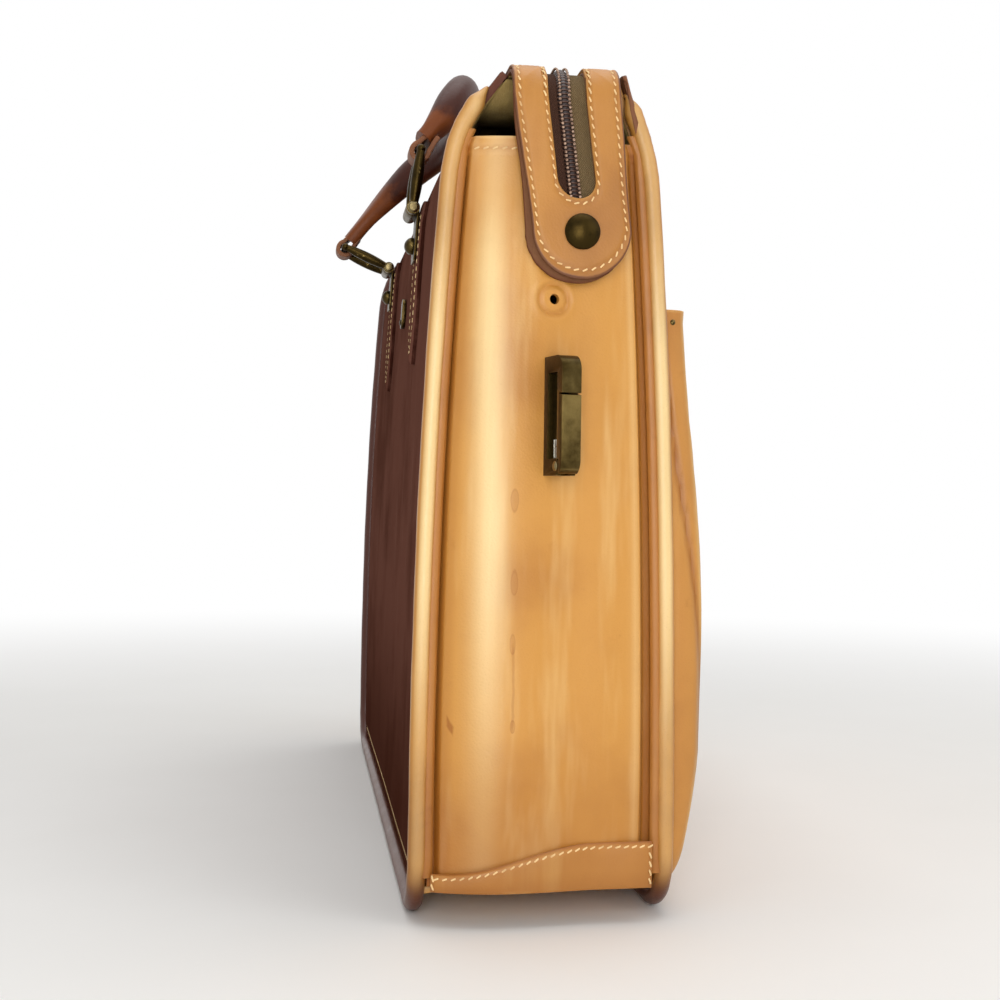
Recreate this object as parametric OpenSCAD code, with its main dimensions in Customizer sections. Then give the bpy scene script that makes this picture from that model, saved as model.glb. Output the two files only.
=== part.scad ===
// Zip-top leather briefcase standing on its two bottom pipings.
// X runs along the case (near end at +X), the front face looks to -Y, Z is up.
// The origin lies on the ground, under the middle of the case.

/* [Case] */
// Length over the end pipings
case_l = 400; // [340:5:440]
// Thickness over the pipings at the base
base_t = 99; // [90:1:110]
// Thickness over the pipings at the shoulder
shoulder_t = 80; // [74:1:88]
// Height of the top face of the zip strip
case_h = 313; // [307:1:323]
// Depth of the shoulder, where the panels begin to lean in, below the strip
shoulder_drop = 31; // [27:1:36]
// How far the closed top leans to the back
top_lean = 3.4; // [1.5:0.1:5]
// Fullness of the front panel at its middle; below zero it caves in
front_bow = -2; // [-3:0.5:4]

/* [Leather] */
// Thickness of the panel leather
panel_w = 3; // [2.4:0.1:3.4]
// Thickness of the gusset leather
gusset_w = 2.5; // [2:0.1:2.8]
// Diameter of the rolled piping
piping_d = 6.8; // [6:0.1:7.4]
// Thickness of the lining
lining_w = 0.8; // [0.6:0.1:1.2]
// Thickness of the base leather
base_w = 3; // [2.4:0.1:3.4]
// Height of the base above the ground
base_z = 10; // [9:0.5:12]
// Radius of the bottom corners, to the middle of the piping
corner_r = 22; // [16:1:30]

/* [Gusset] */
// How far the fold of the gusset stands out
gusset_bulge = 10; // [6:0.5:11]
// Depth of the gusset's top edge below the strip
gusset_drop = 27; // [23:1:40]
// Diameter of the snap hole in the gusset
snap_hole_d = 3.7; // [3:0.1:5]
// Depth of the snap hole below the strip
snap_hole_drop = 86; // [82:0.5:91]

/* [Zip strip] */
// Width of the zip strip
strip_w = 39; // [37:0.2:41]
// Width of the open window along the zip
window_w = 14; // [12.6:0.2:15]
// Thickness of the strip leather
strip_t = 2.7; // [2.2:0.1:3]
// Inner radius of the fold over the end
fold_r = 11.3; // [10.6:0.1:14]
// Length of the end tab below its fold
tab_l = 65; // [62:1:67]
// Sideways hang of the tab's tip
tab_skew = 6; // [2:0.5:7]
// Length of the zip window in the tab
tab_window_l = 36; // [30:1:37]
// Diameter of the snap cap
cap_d = 13; // [11:0.2:15]

/* [Handles] */
// Distance between the two pivots of a handle
pivot_span = 168; // [140:2:190]
// Length of a link from pivot to bar
link_l = 26; // [24:0.5:27]
// Diameter of the link pins
pin_d = 3.9; // [3.4:0.1:4.2]
// Running clearance round a pin
pin_gap = 0.05; // [0.03:0.01:0.08]
// Diameter of the grip
grip_d = 14; // [11:0.5:15]
// Width of the leather anchors
anchor_w = 24; // [20:1:28]
// Thickness of the leather anchors
anchor_t = 2.4; // [1.8:0.1:2.8]
// How far an anchor reaches below its pivot
anchor_l = 69; // [58:1:74]

/* [Strap bracket] */
// Height of the bracket
bracket_h = 42.5; // [40:0.5:44]
// How far the bracket stands out
bracket_d = 16.5; // [15.5:0.25:18]
// Thickness of the bracket
bracket_t = 7.3; // [6.8:0.1:8]
// Depth of the middle of the bracket below the strip
bracket_drop = 128.5; // [123:0.5:143]

/* [Back pocket] */
// Depth of the pocket's top edge below the strip
pocket_drop = 89; // [87:1:123]
// Fullness of the pocket at its middle
pocket_full = 12; // [11:0.5:15]
// Thickness of the pocket leather
pocket_w = 2.2; // [1.6:0.1:2.4]

/* [Hidden] */

// Running gap between two soft or curved pieces that lie on each other
seat = 0.3;
// Depth of the flat that the pipings are worn to where they stand
worn = 0.5;
honey = "#d59a4e";
tan_edge = "#c98a3c";
umber = "#6b3b2a";
suede = "#7d7350";
brass = "#7b7048";
tape_grey = "#6b5f50";

// Heights that follow from the height of the case
shoulder_z = case_h - shoulder_drop;
gusset_top = case_h - gusset_drop;
snap_hole_z = case_h - snap_hole_drop;
bracket_z = case_h - bracket_drop;
pocket_top = case_h - pocket_drop;

piping_r = piping_d / 2;
// The middle of a panel's sheet lies this far inside the outermost point of its piping
panel_in = piping_r + 1;
// The end pipings' middle line
piping_x = case_l / 2 - piping_r;
piping_z = piping_r - worn;
// Centre of the bottom corner's arc
corner_z = piping_z + corner_r;
// A panel stops just short of the piping
panel_gap = piping_r + seat;

function smooth(u) = let (v = min(1, max(0, u))) v * v * (3 - 2 * v);
function mix(a, b, u) = a + (b - a) * u;
function unit(v) = v / norm(v);

// Half thickness of the case over its pipings at height z, up to the shoulder
function half_t(z) =
    mix(base_t / 2, shoulder_t / 2, pow(min(1, max(z, 0) / shoulder_z), 2.5));

// Middle of a panel's sheet: side is -1 for the front and 1 for the back.
// t runs from 0 at the ground to 1 at the shoulder and 2 at the zip strip.
shoulder_y = shoulder_t / 2 - panel_in;
// How far the shoulder's curve starts to lean in
shoulder_lean = 6;
function strip_edge(side) = strip_w / 2 + seat + 0.4 * panel_w + side * top_lean;
strip_under = case_h - strip_t / 2;
function shoulder_point(side, s) = let (
    a = [shoulder_y, shoulder_z],
    b = [shoulder_y - shoulder_lean, (shoulder_z + strip_under) / 2],
    c = [strip_edge(side), strip_under])
    pow(1 - s, 2) * a + 2 * s * (1 - s) * b + s * s * c;
function panel_line(side, t) =
    t <= 1 ? [half_t(t * shoulder_z) - panel_in, t * shoulder_z]
           : shoulder_point(side, t - 1);
// Fullness along the length and up the panel
function bow(amount, x, t) =
    amount * max(0, 1 - pow(2 * x / case_l, 2)) * max(0, 4 * (t / 1.15) * (1 - t / 1.15));
function panel_bow(side) = side < 0 ? front_bow : 0;
// Point of a panel at x and t, off mm outside the middle of its sheet
function panel_point(side, x, t, off = 0) = let (
    d = 0.004,
    p = panel_line(side, t),
    q = panel_line(side, min(2, t + d)),
    r = panel_line(side, max(0, t - d)),
    n = unit([(q - r)[1], -(q - r)[0]]),
    y = p[0] + bow(panel_bow(side), x, t) + off * n[0])
    [x, side * y, p[1] + off * n[1]];

// A closed sheet between two grids of points that have the same rows and columns
module sheet(outer, inner) {
    rows = len(outer);
    cols = len(outer[0]);
    each_point = [for (g = [outer, inner]) for (r = g) for (p = r) p];
    function at(g, i, j) = g * rows * cols + i * cols + j;
    quads = concat(
        [for (i = [0 : rows - 2]) for (j = [0 : cols - 2])
            [at(0, i, j), at(0, i, j + 1), at(0, i + 1, j + 1), at(0, i + 1, j)]],
        [for (i = [0 : rows - 2]) for (j = [0 : cols - 2])
            [at(1, i, j), at(1, i + 1, j), at(1, i + 1, j + 1), at(1, i, j + 1)]],
        [for (j = [0 : cols - 2]) [at(0, 0, j), at(1, 0, j), at(1, 0, j + 1), at(0, 0, j + 1)]],
        [for (j = [0 : cols - 2]) let (i = rows - 1)
            [at(0, i, j), at(0, i, j + 1), at(1, i, j + 1), at(1, i, j)]],
        [for (i = [0 : rows - 2]) [at(0, i, 0), at(0, i + 1, 0), at(1, i + 1, 0), at(1, i, 0)]],
        [for (i = [0 : rows - 2]) let (j = cols - 1)
            [at(0, i, j), at(1, i, j), at(1, i + 1, j), at(0, i + 1, j)]]);
    polyhedron(each_point, [for (q = quads) each [[q[0], q[1], q[2]], [q[0], q[2], q[3]]]]);
}

// A tube swept along points, with one [across, thick] radius pair for each ring;
// side_way is a direction that the path never takes
module sweep(path, radii, sides, side_way) {
    n = len(path);
    function way(i) = unit(path[min(n - 1, i + 1)] - path[max(0, i - 1)]);
    rings = [for (i = [0 : n - 1]) let (
        u = unit(cross(way(i), side_way)),
        v = cross(way(i), u))
        [for (k = [0 : sides - 1]) let (a = 360 * (k + 0.5) / sides)
            path[i] + radii[i][0] * cos(a) * v + radii[i][1] * sin(a) * u]];
    walls = [for (i = [0 : n - 2]) for (k = [0 : sides - 1]) let (
        a = i * sides + k,
        b = i * sides + (k + 1) % sides)
        each [[a, b, b + sides], [a, b + sides, a + sides]]];
    caps = concat(
        [for (k = [1 : sides - 2]) [0, k + 1, k]],
        [for (k = [1 : sides - 2]) let (o = (n - 1) * sides) [o, o + k, o + k + 1]]);
    polyhedron([for (r = rings) each r], concat(walls, caps));
}

// Panels: rounded bottom corners that follow the piping, then rows up the face and over the shoulder
panel_steps = 12;
corner_in = corner_r - panel_gap;
corner_rows = [for (a = [0 : 22.5 : 90])
    [(corner_z - corner_in * cos(a)) / shoulder_z, piping_x - corner_r + corner_in * sin(a)]];
panel_end_x = piping_x - panel_gap;
face_rows = [for (u = [0.2 : 0.1 : 1.001]) [u, panel_end_x]];
shoulder_rows = [for (u = [1.25 : 0.25 : 2]) [u, panel_end_x]];
panel_rows = concat(corner_rows, face_rows, shoulder_rows);

module panel(side) {
    function grid(off) = [for (r = panel_rows) [for (j = [0 : panel_steps])
        panel_point(side, r[1] * (1 - 2 * j / panel_steps), r[0], off)]];
    shell = side < 0 ? [panel_w / 2, -panel_w / 2] : [-panel_w / 2, panel_w / 2];
    sheet(grid(shell[0]), grid(shell[1]));
}

module front_panel() {
    color(umber) difference() {
        panel(-1);
        rivet_cut(-1);
        plate_rivet_cut();
    }
}

module back_panel() {
    color(honey) difference() {
        panel(1);
        rivet_cut(1);
    }
}

// Lining: a thin sheet close inside each panel
board_w = 2;
gusset_bottom = base_z + base_w + seat;
lining_off = panel_w / 2 + seat;
lining_bottom = gusset_bottom + board_w + 3 * seat;
lining_rows = concat([lining_bottom / shoulder_z], [for (u = [0.2 : 0.2 : 1.001]) u], [1.3, 1.6, 1.85]);
lining_x = panel_end_x - 4;

module lining(side) {
    function grid(off) = [for (t = lining_rows) [for (j = [0 : 10])
        panel_point(side, lining_x * (1 - 0.2 * j), t, off)]];
    near = -lining_off;
    deep = -lining_off - lining_w;
    color(suede) difference() {
        sheet(grid(side < 0 ? near : deep), grid(side < 0 ? deep : near));
        rivet_cut(side);
        if (side < 0) plate_rivet_cut();
    }
}

module front_lining() lining(-1);
module back_lining() lining(1);

// Piping: one rolled strip down an end, along the bottom and up the other end
piping_top_t = 1.7;
piping_side_t = concat([piping_top_t, 1.45, 1.25, 1.1, 1], [for (u = [0.92 : -0.15 : 0.17]) u]);
function piping_point(side, x, t) = panel_point(side, x, t, panel_in - piping_r)
    - [0, side * bow(panel_bow(side), x, t), 0];
function low_point(side, x, z) = [x, side * (half_t(z) - piping_r), z];
piping_corner = [for (a = [90 : -22.5 : 0])
    [piping_x - corner_r + corner_r * sin(a), corner_z - corner_r * cos(a)]];
function piping_half(side) = concat(
    [for (t = piping_side_t) piping_point(side, piping_x, t)],
    [for (c = piping_corner) low_point(side, c[0], c[1])],
    [low_point(side, piping_x / 2, piping_z)]);

module piping(side) {
    half = piping_half(side);
    n = len(half);
    path = concat(half, [[0, half[n - 1][1], piping_z]],
        [for (i = [n - 1 : -1 : 0]) [-half[i][0], half[i][1], half[i][2]]]);
    color(tan_edge) intersection() {
        sweep(path, [for (p = path) [piping_r, piping_r]], 10, [0, 1, 0]);
        translate([-case_l, -case_l, 0]) cube([2 * case_l, 2 * case_l, 2 * case_l]);
    }
}

module front_piping() piping(-1);
module back_piping() piping(1);

// Gusset: a sheet with a soft upright fold left of its middle
gusset_in = 2 * piping_r + 1;
fold_s = -0.38;
// Heights over which the fold grows at the foot and fades towards the top
fold_foot = 50;
fold_fade = 56;
function fold_shape(s) = s < fold_s
    ? pow(sin(90 * (s + 1) / (fold_s + 1)), 0.9)
    : (1 - cos(180 * (1 - s) / (1 - fold_s))) / 2;
function fold_height(z) =
    (0.55 + 0.45 * smooth((z - gusset_bottom) / fold_foot))
    * (1 - 0.6 * smooth((z - gusset_top + fold_fade) / fold_fade));
// Above the shoulder the gusset narrows with the pipings
function lean_in(z) = 2 * shoulder_lean * max(0, z - shoulder_z) / (strip_under - shoulder_z);
function gusset_line(s, z) = [
    piping_x + gusset_bulge * fold_shape(s) * fold_height(z),
    s * (half_t(max(z, gusset_bottom)) - gusset_in - lean_in(z))];
function gusset_normal(s, z) = let (
    d = 0.01,
    a = gusset_line(max(-1, s - d), z),
    b = gusset_line(min(1, s + d), z))
    unit([(b - a)[1], -(b - a)[0]]);
function gusset_point(s, z, off) = let (
    p = gusset_line(s, z) + off * gusset_normal(s, z)) [p[0], p[1], z];
gusset_s = [-1, -0.88, -0.74, -0.6, -0.48, -0.38, -0.26, -0.12, 0.04, 0.2, 0.4, 0.6, 0.8, 1];
gusset_z = concat([gusset_bottom, gusset_bottom + 14, gusset_bottom + 34],
    [for (u = [0.22 : 0.13 : 0.75]) u * gusset_top],
    [for (u = [0.8 : 0.05 : 1.001]) u * gusset_top]);

module gusset_sheet(rows, columns, low, high) {
    function grid(off) = [for (z = rows) [for (s = columns) gusset_point(s, z, off)]];
    sheet(grid(low), grid(high));
}

// Frame of the snap on the gusset's outer skin, z out of the leather
module at_snap() {
    n = gusset_normal(0, snap_hole_z);
    translate(gusset_point(0, snap_hole_z, gusset_w / 2))
        rotate([0, 0, atan2(n[1], n[0])]) rotate([0, 90, 0]) children();
}

module gusset() {
    color(honey) difference() {
        gusset_sheet(gusset_z, gusset_s, -gusset_w / 2, gusset_w / 2);
        at_snap() cylinder(d = snap_hole_d, h = 6 * gusset_w, center = true, $fn = 32);
        at_bracket() screw_cut();
    }
}

module near_gusset() gusset();
module far_gusset() mirror([1, 0, 0]) gusset();

// Base: a plate between the panels, whose ends follow the gussets
base_half = half_t(base_z) - panel_in - panel_w / 2 - 2 * seat;
base_end_half = half_t(base_z) - 2 * piping_r - seat;
base_notch_x = piping_x - corner_r;
base_end = [for (s = gusset_s)
    gusset_line(s, gusset_bottom) + gusset_w / 2 * gusset_normal(s, gusset_bottom)];

module base_panel() {
    near = [for (p = base_end) [p[0], p[1]]];
    near_side = concat([[base_notch_x, -base_half], [base_notch_x, -base_end_half]], near,
        [[base_notch_x, base_end_half], [base_notch_x, base_half]]);
    far_side = [for (i = [len(near_side) - 1 : -1 : 0]) [-near_side[i][0], near_side[i][1]]];
    outline = concat(near_side, far_side);
    color(honey) translate([0, 0, base_z]) linear_extrude(base_w) polygon(outline);
}

module base_board() {
    color("#8a7a60") translate([0, 0, gusset_bottom + board_w / 2])
        cube([2 * (piping_x - 12), 2 * (base_half - 3.5), board_w], center = true);
}

// End flap: the leather that laps over the foot of a gusset, with an S-shaped top edge
flap_w = 2.2;
flap_low = 17;
flap_high = 26;
// Share of the gusset's width that the flap covers
flap_share = 0.965;
flap_s = [for (s = gusset_s) s * flap_share];
module end_flap() {
    function top(s) = mix(flap_low, flap_high, smooth((s + 0.9) / 1.7));
    function grid(off) = [for (u = [0, 0.35, 0.7, 1]) [for (s = flap_s)
        gusset_point(s, mix(base_z, top(s), u), off)]];
    near = gusset_w / 2 + seat;
    color(honey) sheet(grid(near), grid(near + flap_w));
}
module near_end_flap() end_flap();
module far_end_flap() mirror([1, 0, 0]) end_flap();

// Zip strip: two leather bands over a tape that carries the closed coil
strip_x = case_l / 2 - 4;
fold_z = case_h - strip_t - fold_r;
tape_half = 12;
tape_w = 0.8;
teeth_half = 2.9;
teeth_h = 2.2;
tape_top = case_h - strip_t;

module zip_band(side) {
    near = window_w / 2;
    color(honey) translate([-strip_x, top_lean + (side < 0 ? -strip_w / 2 : near), tape_top])
        cube([2 * strip_x, strip_w / 2 - near, strip_t]);
}
module front_zip_band() zip_band(-1);
module back_zip_band() zip_band(1);

module zip_tape() {
    color(tape_grey) translate([-strip_x, top_lean - tape_half, tape_top - tape_w])
        cube([2 * strip_x, 2 * tape_half, tape_w]);
}

// Outline of the coil, across the strip and up from the tape
module teeth_outline(width, height) {
    intersection() {
        translate([-width, 0]) square([2 * width, height]);
        translate([0, height - 2 * width]) circle(r = 2 * width, $fn = 48);
    }
}

module zip_teeth() {
    color("#4a3b30") translate([-strip_x, top_lean, tape_top]) rotate([90, 0, 90])
        linear_extrude(2 * strip_x) teeth_outline(teeth_half, teeth_h);
}

// Slider: a cover over the coil with two side flanges and the eye of its pull
slider_l = 13;
slider_half = 5.4;
slider_top = 1.4;
slider_park = -strip_x + 14;
slider_z = tape_top + teeth_h + seat;
eye_r = 2.2;
pull_pin_r = 0.8;
eye_rise = 1.5;
slider_eye_z = slider_z + slider_top + eye_rise;

module zip_slider() {
    color(brass) translate([slider_park, top_lean, 0]) {
        translate([0, 0, slider_z]) linear_extrude(slider_top)
            polygon([[-slider_l / 2, -slider_half], [slider_l / 2 - 3, -slider_half],
                [slider_l / 2, -slider_half + 2.4], [slider_l / 2, slider_half - 2.4],
                [slider_l / 2 - 3, slider_half], [-slider_l / 2, slider_half]]);
        for (m = [0, 1]) mirror([0, m, 0])
            translate([-slider_l / 2, teeth_half + seat + 0.4, tape_top + seat])
                cube([slider_l - 3, slider_half - teeth_half - seat - 0.4, slider_z - tape_top - seat]);
        // Arch that the pull hangs on
        difference() {
            translate([0, 0, slider_z + slider_top]) rotate([90, 0, 0])
                linear_extrude(3.2, center = true) union() {
                    square([2 * eye_r, 2 * eye_rise], center = true);
                    translate([0, eye_rise]) circle(r = eye_r, $fn = 32);
                }
            translate([0, 0, slider_eye_z]) rotate([90, 0, 0])
                cylinder(r = pull_pin_r + pin_gap, h = 10, center = true, $fn = 24);
            translate([-10, -10, slider_z - 10]) cube([20, 20, 10]);
        }
    }
}

// Pull: a slim bail on a pin through the eye, with a tapered tongue that droops onto the zip
pull_l = 26;
pull_droop = asin((slider_eye_z - pull_pin_r - slider_z) / pull_l);
module zip_pull() {
    color(brass) translate([slider_park, top_lean, slider_eye_z]) rotate([0, pull_droop, 0]) {
        rotate([90, 0, 0]) cylinder(r = pull_pin_r, h = 7.2, center = true, $fn = 24);
        difference() {
            translate([0, 0, -pull_pin_r]) linear_extrude(2 * pull_pin_r) union() {
                polygon([[-pull_pin_r, -3.6], [8, -3.6], [pull_l - 4, -4.4],
                    [pull_l - 4, 4.4], [8, 3.6], [-pull_pin_r, 3.6]]);
                translate([pull_l - 4, 0]) circle(r = 4.4, $fn = 32);
            }
            translate([-6, -2.1, -5]) cube([6 + eye_r + 1.4, 4.2, 10]);
            translate([pull_l - 4, 0, -5]) cylinder(r = 1.8, h = 10, $fn = 24);
        }
    }
}

// Fold of the strip over the end, bands and zip together.
// A quarter ring about the Y axis with its section from radius a to b and from y c to d
module quarter_ring(a, b, c, d) {
    translate([0, d, 0]) rotate([90, 0, 0])
        rotate_extrude(angle = 90, $fn = 96) translate([a, 0]) square([b - a, d - c]);
}

module near_fold() {
    translate([strip_x, top_lean, fold_z]) union() {
        for (m = [0, 1]) mirror([0, m, 0])
            quarter_ring(fold_r, fold_r + strip_t, window_w / 2, strip_w / 2);
        quarter_ring(fold_r - tape_w, fold_r, -tape_half, tape_half);
        quarter_ring(fold_r, fold_r + teeth_h, -teeth_half, teeth_half);
    }
}
module near_tab_fold() color(honey) near_fold();
module far_tab_fold() color(honey) mirror([1, 0, 0]) near_fold();

// End tab: two plies with a zip window, hanging below the fold
tab_x = strip_x + fold_r;
tab_r = strip_w / 2 - 1.5;
tab_end_z = fold_z - tab_l;
// Middle line of the tab at a depth below its fold
function tab_middle(drop) = top_lean + tab_skew * min(1, drop / (tab_l - tab_r));
// How far the back ply shows round the front one
ply_show = 0.6;
// Points of a half circle below its centre, from left to right
function half_round(y, z, r, n) = [for (i = [0 : n]) [y - r * cos(180 * i / n), z - r * sin(180 * i / n)]];
// Drawn in Y and Z
module tab_outline(grow) {
    polygon(concat([[top_lean - strip_w / 2 - grow, fold_z]],
        half_round(tab_middle(tab_l), tab_end_z + tab_r, tab_r + grow, 36),
        [[top_lean + strip_w / 2 + grow, fold_z]]));
}
window_end_y = tab_middle(tab_window_l);
module window_outline() {
    end_r = window_w / 2 - 0.6;
    polygon(concat([[top_lean - window_w / 2, fold_z + 1]],
        half_round(window_end_y, fold_z - tab_window_l + end_r, end_r, 24),
        [[top_lean + window_w / 2, fold_z + 1]]));
}
// Turns a drawing in Y and Z into a plate that grows along X
module plate_x(x, t) translate([x, 0, 0]) rotate([90, 0, 90]) linear_extrude(t) children();

// The snap cap sits below the window, on the middle line of the tab
cap_drop = 12;
cap_z = fold_z - tab_window_l - cap_drop;
cap_y = tab_middle(tab_window_l + cap_drop);
post_r = 2;

module end_tab() {
    ply = strip_t / 2;
    color(honey) difference() {
        union() {
            plate_x(tab_x, ply) tab_outline(ply_show);
            plate_x(tab_x + ply, ply) tab_outline(0);
        }
        plate_x(tab_x - 1, strip_t + 2) window_outline();
        translate([tab_x, cap_y, cap_z]) rotate([0, 90, 0])
            cylinder(r = post_r + pin_gap, h = 20, center = true, $fn = 32);
    }
}
module near_end_tab() end_tab();
module far_end_tab() mirror([1, 0, 0]) end_tab();

// End of the zip in the tab: tape behind the leather, coil in the window
module tab_zip() {
    tape_low = fold_z - tab_window_l - 3;
    teeth_low = fold_z - tab_window_l + 1.2;
    color(tape_grey) {
        plate_x(tab_x - tape_w, tape_w)
            polygon([[top_lean - tape_half, fold_z], [window_end_y - tape_half, tape_low],
                [window_end_y + tape_half, tape_low], [top_lean + tape_half, fold_z]]);
        plate_x(tab_x, teeth_h)
            polygon([[top_lean - teeth_half, fold_z], [window_end_y - teeth_half, teeth_low],
                [window_end_y + teeth_half, teeth_low], [top_lean + teeth_half, fold_z]]);
    }
}
module near_tab_zip() tab_zip();
module far_tab_zip() mirror([1, 0, 0]) tab_zip();

// Snap cap: a dome on a post, clenched into the socket behind the tab
cap_rise = 2.4;
module snap_cap() {
    dome_r = (cap_d * cap_d / 4 + cap_rise * cap_rise) / (2 * cap_rise);
    color(brass) translate([tab_x, cap_y, cap_z]) rotate([0, 90, 0]) {
        translate([0, 0, strip_t]) cylinder(d = cap_d, h = 0.6, $fn = 64);
        translate([0, 0, strip_t + 0.6]) intersection() {
            cylinder(d = cap_d, h = cap_rise, $fn = 64);
            translate([0, 0, cap_rise - dome_r]) sphere(r = dome_r, $fn = 96);
        }
        translate([0, 0, -0.6]) cylinder(r = post_r, h = strip_t + 0.6, $fn = 32);
    }
}
module near_snap_cap() snap_cap();
module far_snap_cap() mirror([1, 0, 0]) snap_cap();

module snap_socket() {
    color(brass) translate([tab_x, cap_y, cap_z]) rotate([0, -90, 0]) difference() {
        union() {
            cylinder(d = cap_d - 1.6, h = 0.7, $fn = 48);
            cylinder(d = 8.6, h = 2, $fn = 48);
        }
        translate([0, 0, 0.6]) cylinder(d = 6.2, h = 3, $fn = 48);
        translate([0, 0, -1]) cylinder(r = post_r + pin_gap, h = 3, $fn = 32);
    }
}
module near_snap_socket() snap_socket();
module far_snap_socket() mirror([1, 0, 0]) snap_socket();

// Stud in the far gusset: flange, post through the hole and a button
module far_snap_stud() {
    color(brass) mirror([1, 0, 0]) at_snap() {
        translate([0, 0, seat]) cylinder(d = 9.4, h = 0.9, $fn = 48);
        translate([0, 0, 1]) cylinder(d = 4.4, h = 1.4, $fn = 32);
        translate([0, 0, 2.2]) cylinder(d = 5.4, h = 1.4, $fn = 32);
        translate([0, 0, -gusset_w - 1]) cylinder(d = snap_hole_d - 0.6, h = gusset_w + 2.4, $fn = 32);
        translate([0, 0, -gusset_w - 1]) cylinder(d = 8.4, h = 0.8, $fn = 48);
    }
}

// Strap bracket, drawn in its own frame: x out of the gusset, z up, thickness along y
bracket_s = 0;
bracket_turn = let (n = gusset_normal(bracket_s, bracket_z)) atan2(n[1], n[0]);
module at_bracket() {
    p = gusset_point(bracket_s, bracket_z, gusset_w / 2 + seat);
    translate(p) rotate([0, 0, bracket_turn]) children();
}
spine_w = 3.4;
outer_rail = 4.5;
slot_h = 31;
outer_r = 5.5;
nose_z = bracket_h / 2 - 13.5;
gate_pivot = [10.6, -bracket_h / 2 + 3.3];
gate_pin_r = 1.2;
cheek = 1.9;
lug_r = 2.9;
// The joint between nose and gate steps down by this much, over as much width
split_step = 1.8;
slot_x1 = bracket_d - outer_rail;
slot_z1 = slot_h / 2 - 0.2;

// Closed outline of the whole bracket in x and z
module bracket_outline() {
    difference() {
        translate([0, -bracket_h / 2]) square([bracket_d, bracket_h]);
        for (m = [0, 1]) mirror([0, m])
            translate([bracket_d - outer_r, bracket_h / 2 - outer_r]) difference() {
                square([outer_r + 1, outer_r + 1]);
                circle(r = outer_r, $fn = 48);
            }
    }
}
module slot_outline() {
    translate([spine_w, -slot_z1]) square([slot_x1 - spine_w, 2 * slot_z1]);
}
// Region that belongs to the gate: the outer rail below the nose, down to the bottom
module gate_region(gap) {
    polygon([[slot_x1 - 0.01, -bracket_h], [slot_x1 - 0.01, nose_z + split_step - gap],
        [slot_x1 + split_step, nose_z - gap], [bracket_d + 1, nose_z - gap], [bracket_d + 1, -bracket_h]]);
}
module thick_y(t) rotate([90, 0, 0]) linear_extrude(t, center = true) children();

module strap_bracket() {
    color(brass) difference() {
        thick_y(bracket_t) difference() {
            bracket_outline();
            slot_outline();
            difference() {
                gate_region(0);
                translate(gate_pivot) circle(r = lug_r, $fn = 48);
            }
        }
        // Fork for the gate's tongue
        thick_y(bracket_t - 2 * cheek) union() {
            translate([gate_pivot[0] - lug_r - 0.4, -bracket_h / 2 - 1])
                square([bracket_d, gate_pivot[1] + bracket_h / 2 + 1 + lug_r + 0.8]);
        }
        translate([gate_pivot[0], 0, gate_pivot[1]]) rotate([90, 0, 0])
            cylinder(r = gate_pin_r + pin_gap, h = bracket_t + 2, center = true, $fn = 32);
        screw_cut();
    }
}

gate_tongue = bracket_t - 2 * cheek - seat;
// Beyond its step the tip of the gate is an arc about the pivot, so that it swings in under the nose
gate_tip_r = norm([slot_x1 + split_step - gate_pivot[0], nose_z - seat - gate_pivot[1]]);
module gate_tip_outline() {
    union() {
        translate(gate_pivot) circle(r = gate_tip_r, $fn = 120);
        translate([0, -bracket_h]) square([slot_x1 + split_step, 2 * bracket_h]);
    }
}
module gate() {
    color(brass) difference() {
        union() {
            thick_y(bracket_t) difference() {
                intersection() {
                    bracket_outline();
                    gate_region(seat);
                    gate_tip_outline();
                }
                translate(gate_pivot) circle(r = lug_r + seat, $fn = 48);
                translate([0, -bracket_h]) square([gate_pivot[0] + lug_r, bracket_h / 2 + lug_r + 3.3]);
            }
            thick_y(gate_tongue) union() {
                translate(gate_pivot) circle(r = lug_r - 0.3, $fn = 48);
                intersection() {
                    bracket_outline();
                    translate([slot_x1, gate_pivot[1] - 1]) square([6, 7.5]);
                }
            }
        }
        translate([gate_pivot[0], 0, gate_pivot[1]]) rotate([90, 0, 0])
            cylinder(r = gate_pin_r + pin_gap, h = bracket_t + 2, center = true, $fn = 32);
    }
}

module near_strap_bracket() at_bracket() strap_bracket();
module far_strap_bracket() mirror([1, 0, 0]) at_bracket() strap_bracket();
module near_gate() at_bracket() gate();
module far_gate() mirror([1, 0, 0]) at_bracket() gate();

module gate_pin() {
    color("#a8996a") at_bracket() translate([gate_pivot[0], 0, gate_pivot[1]]) rotate([90, 0, 0]) {
        cylinder(r = gate_pin_r, h = bracket_t, center = true, $fn = 32);
        for (m = [0, 1]) mirror([0, 0, m])
            translate([0, 0, bracket_t / 2])
                cylinder(r1 = gate_pin_r + 0.7, r2 = gate_pin_r, h = 0.5, $fn = 32);
    }
}
module gate_pins() {
    gate_pin();
    mirror([1, 0, 0]) gate_pin();
}

// Hairpin spring in the foot of the slot, between the spine and the gate
spring_w = 2.6;
spring_t = 0.5;
module gate_spring() {
    low = -slot_z1;
    color("#c9c4b0") at_bracket() thick_y(spring_w) union() {
        translate([spine_w, low]) square([spring_t, 7]);
        translate([spine_w, low]) square([slot_x1 - spine_w - seat, spring_t]);
        translate([slot_x1 - seat - spring_t, low]) square([spring_t, 8]);
    }
}
module near_gate_spring() gate_spring();
module far_gate_spring() mirror([1, 0, 0]) gate_spring();

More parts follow.
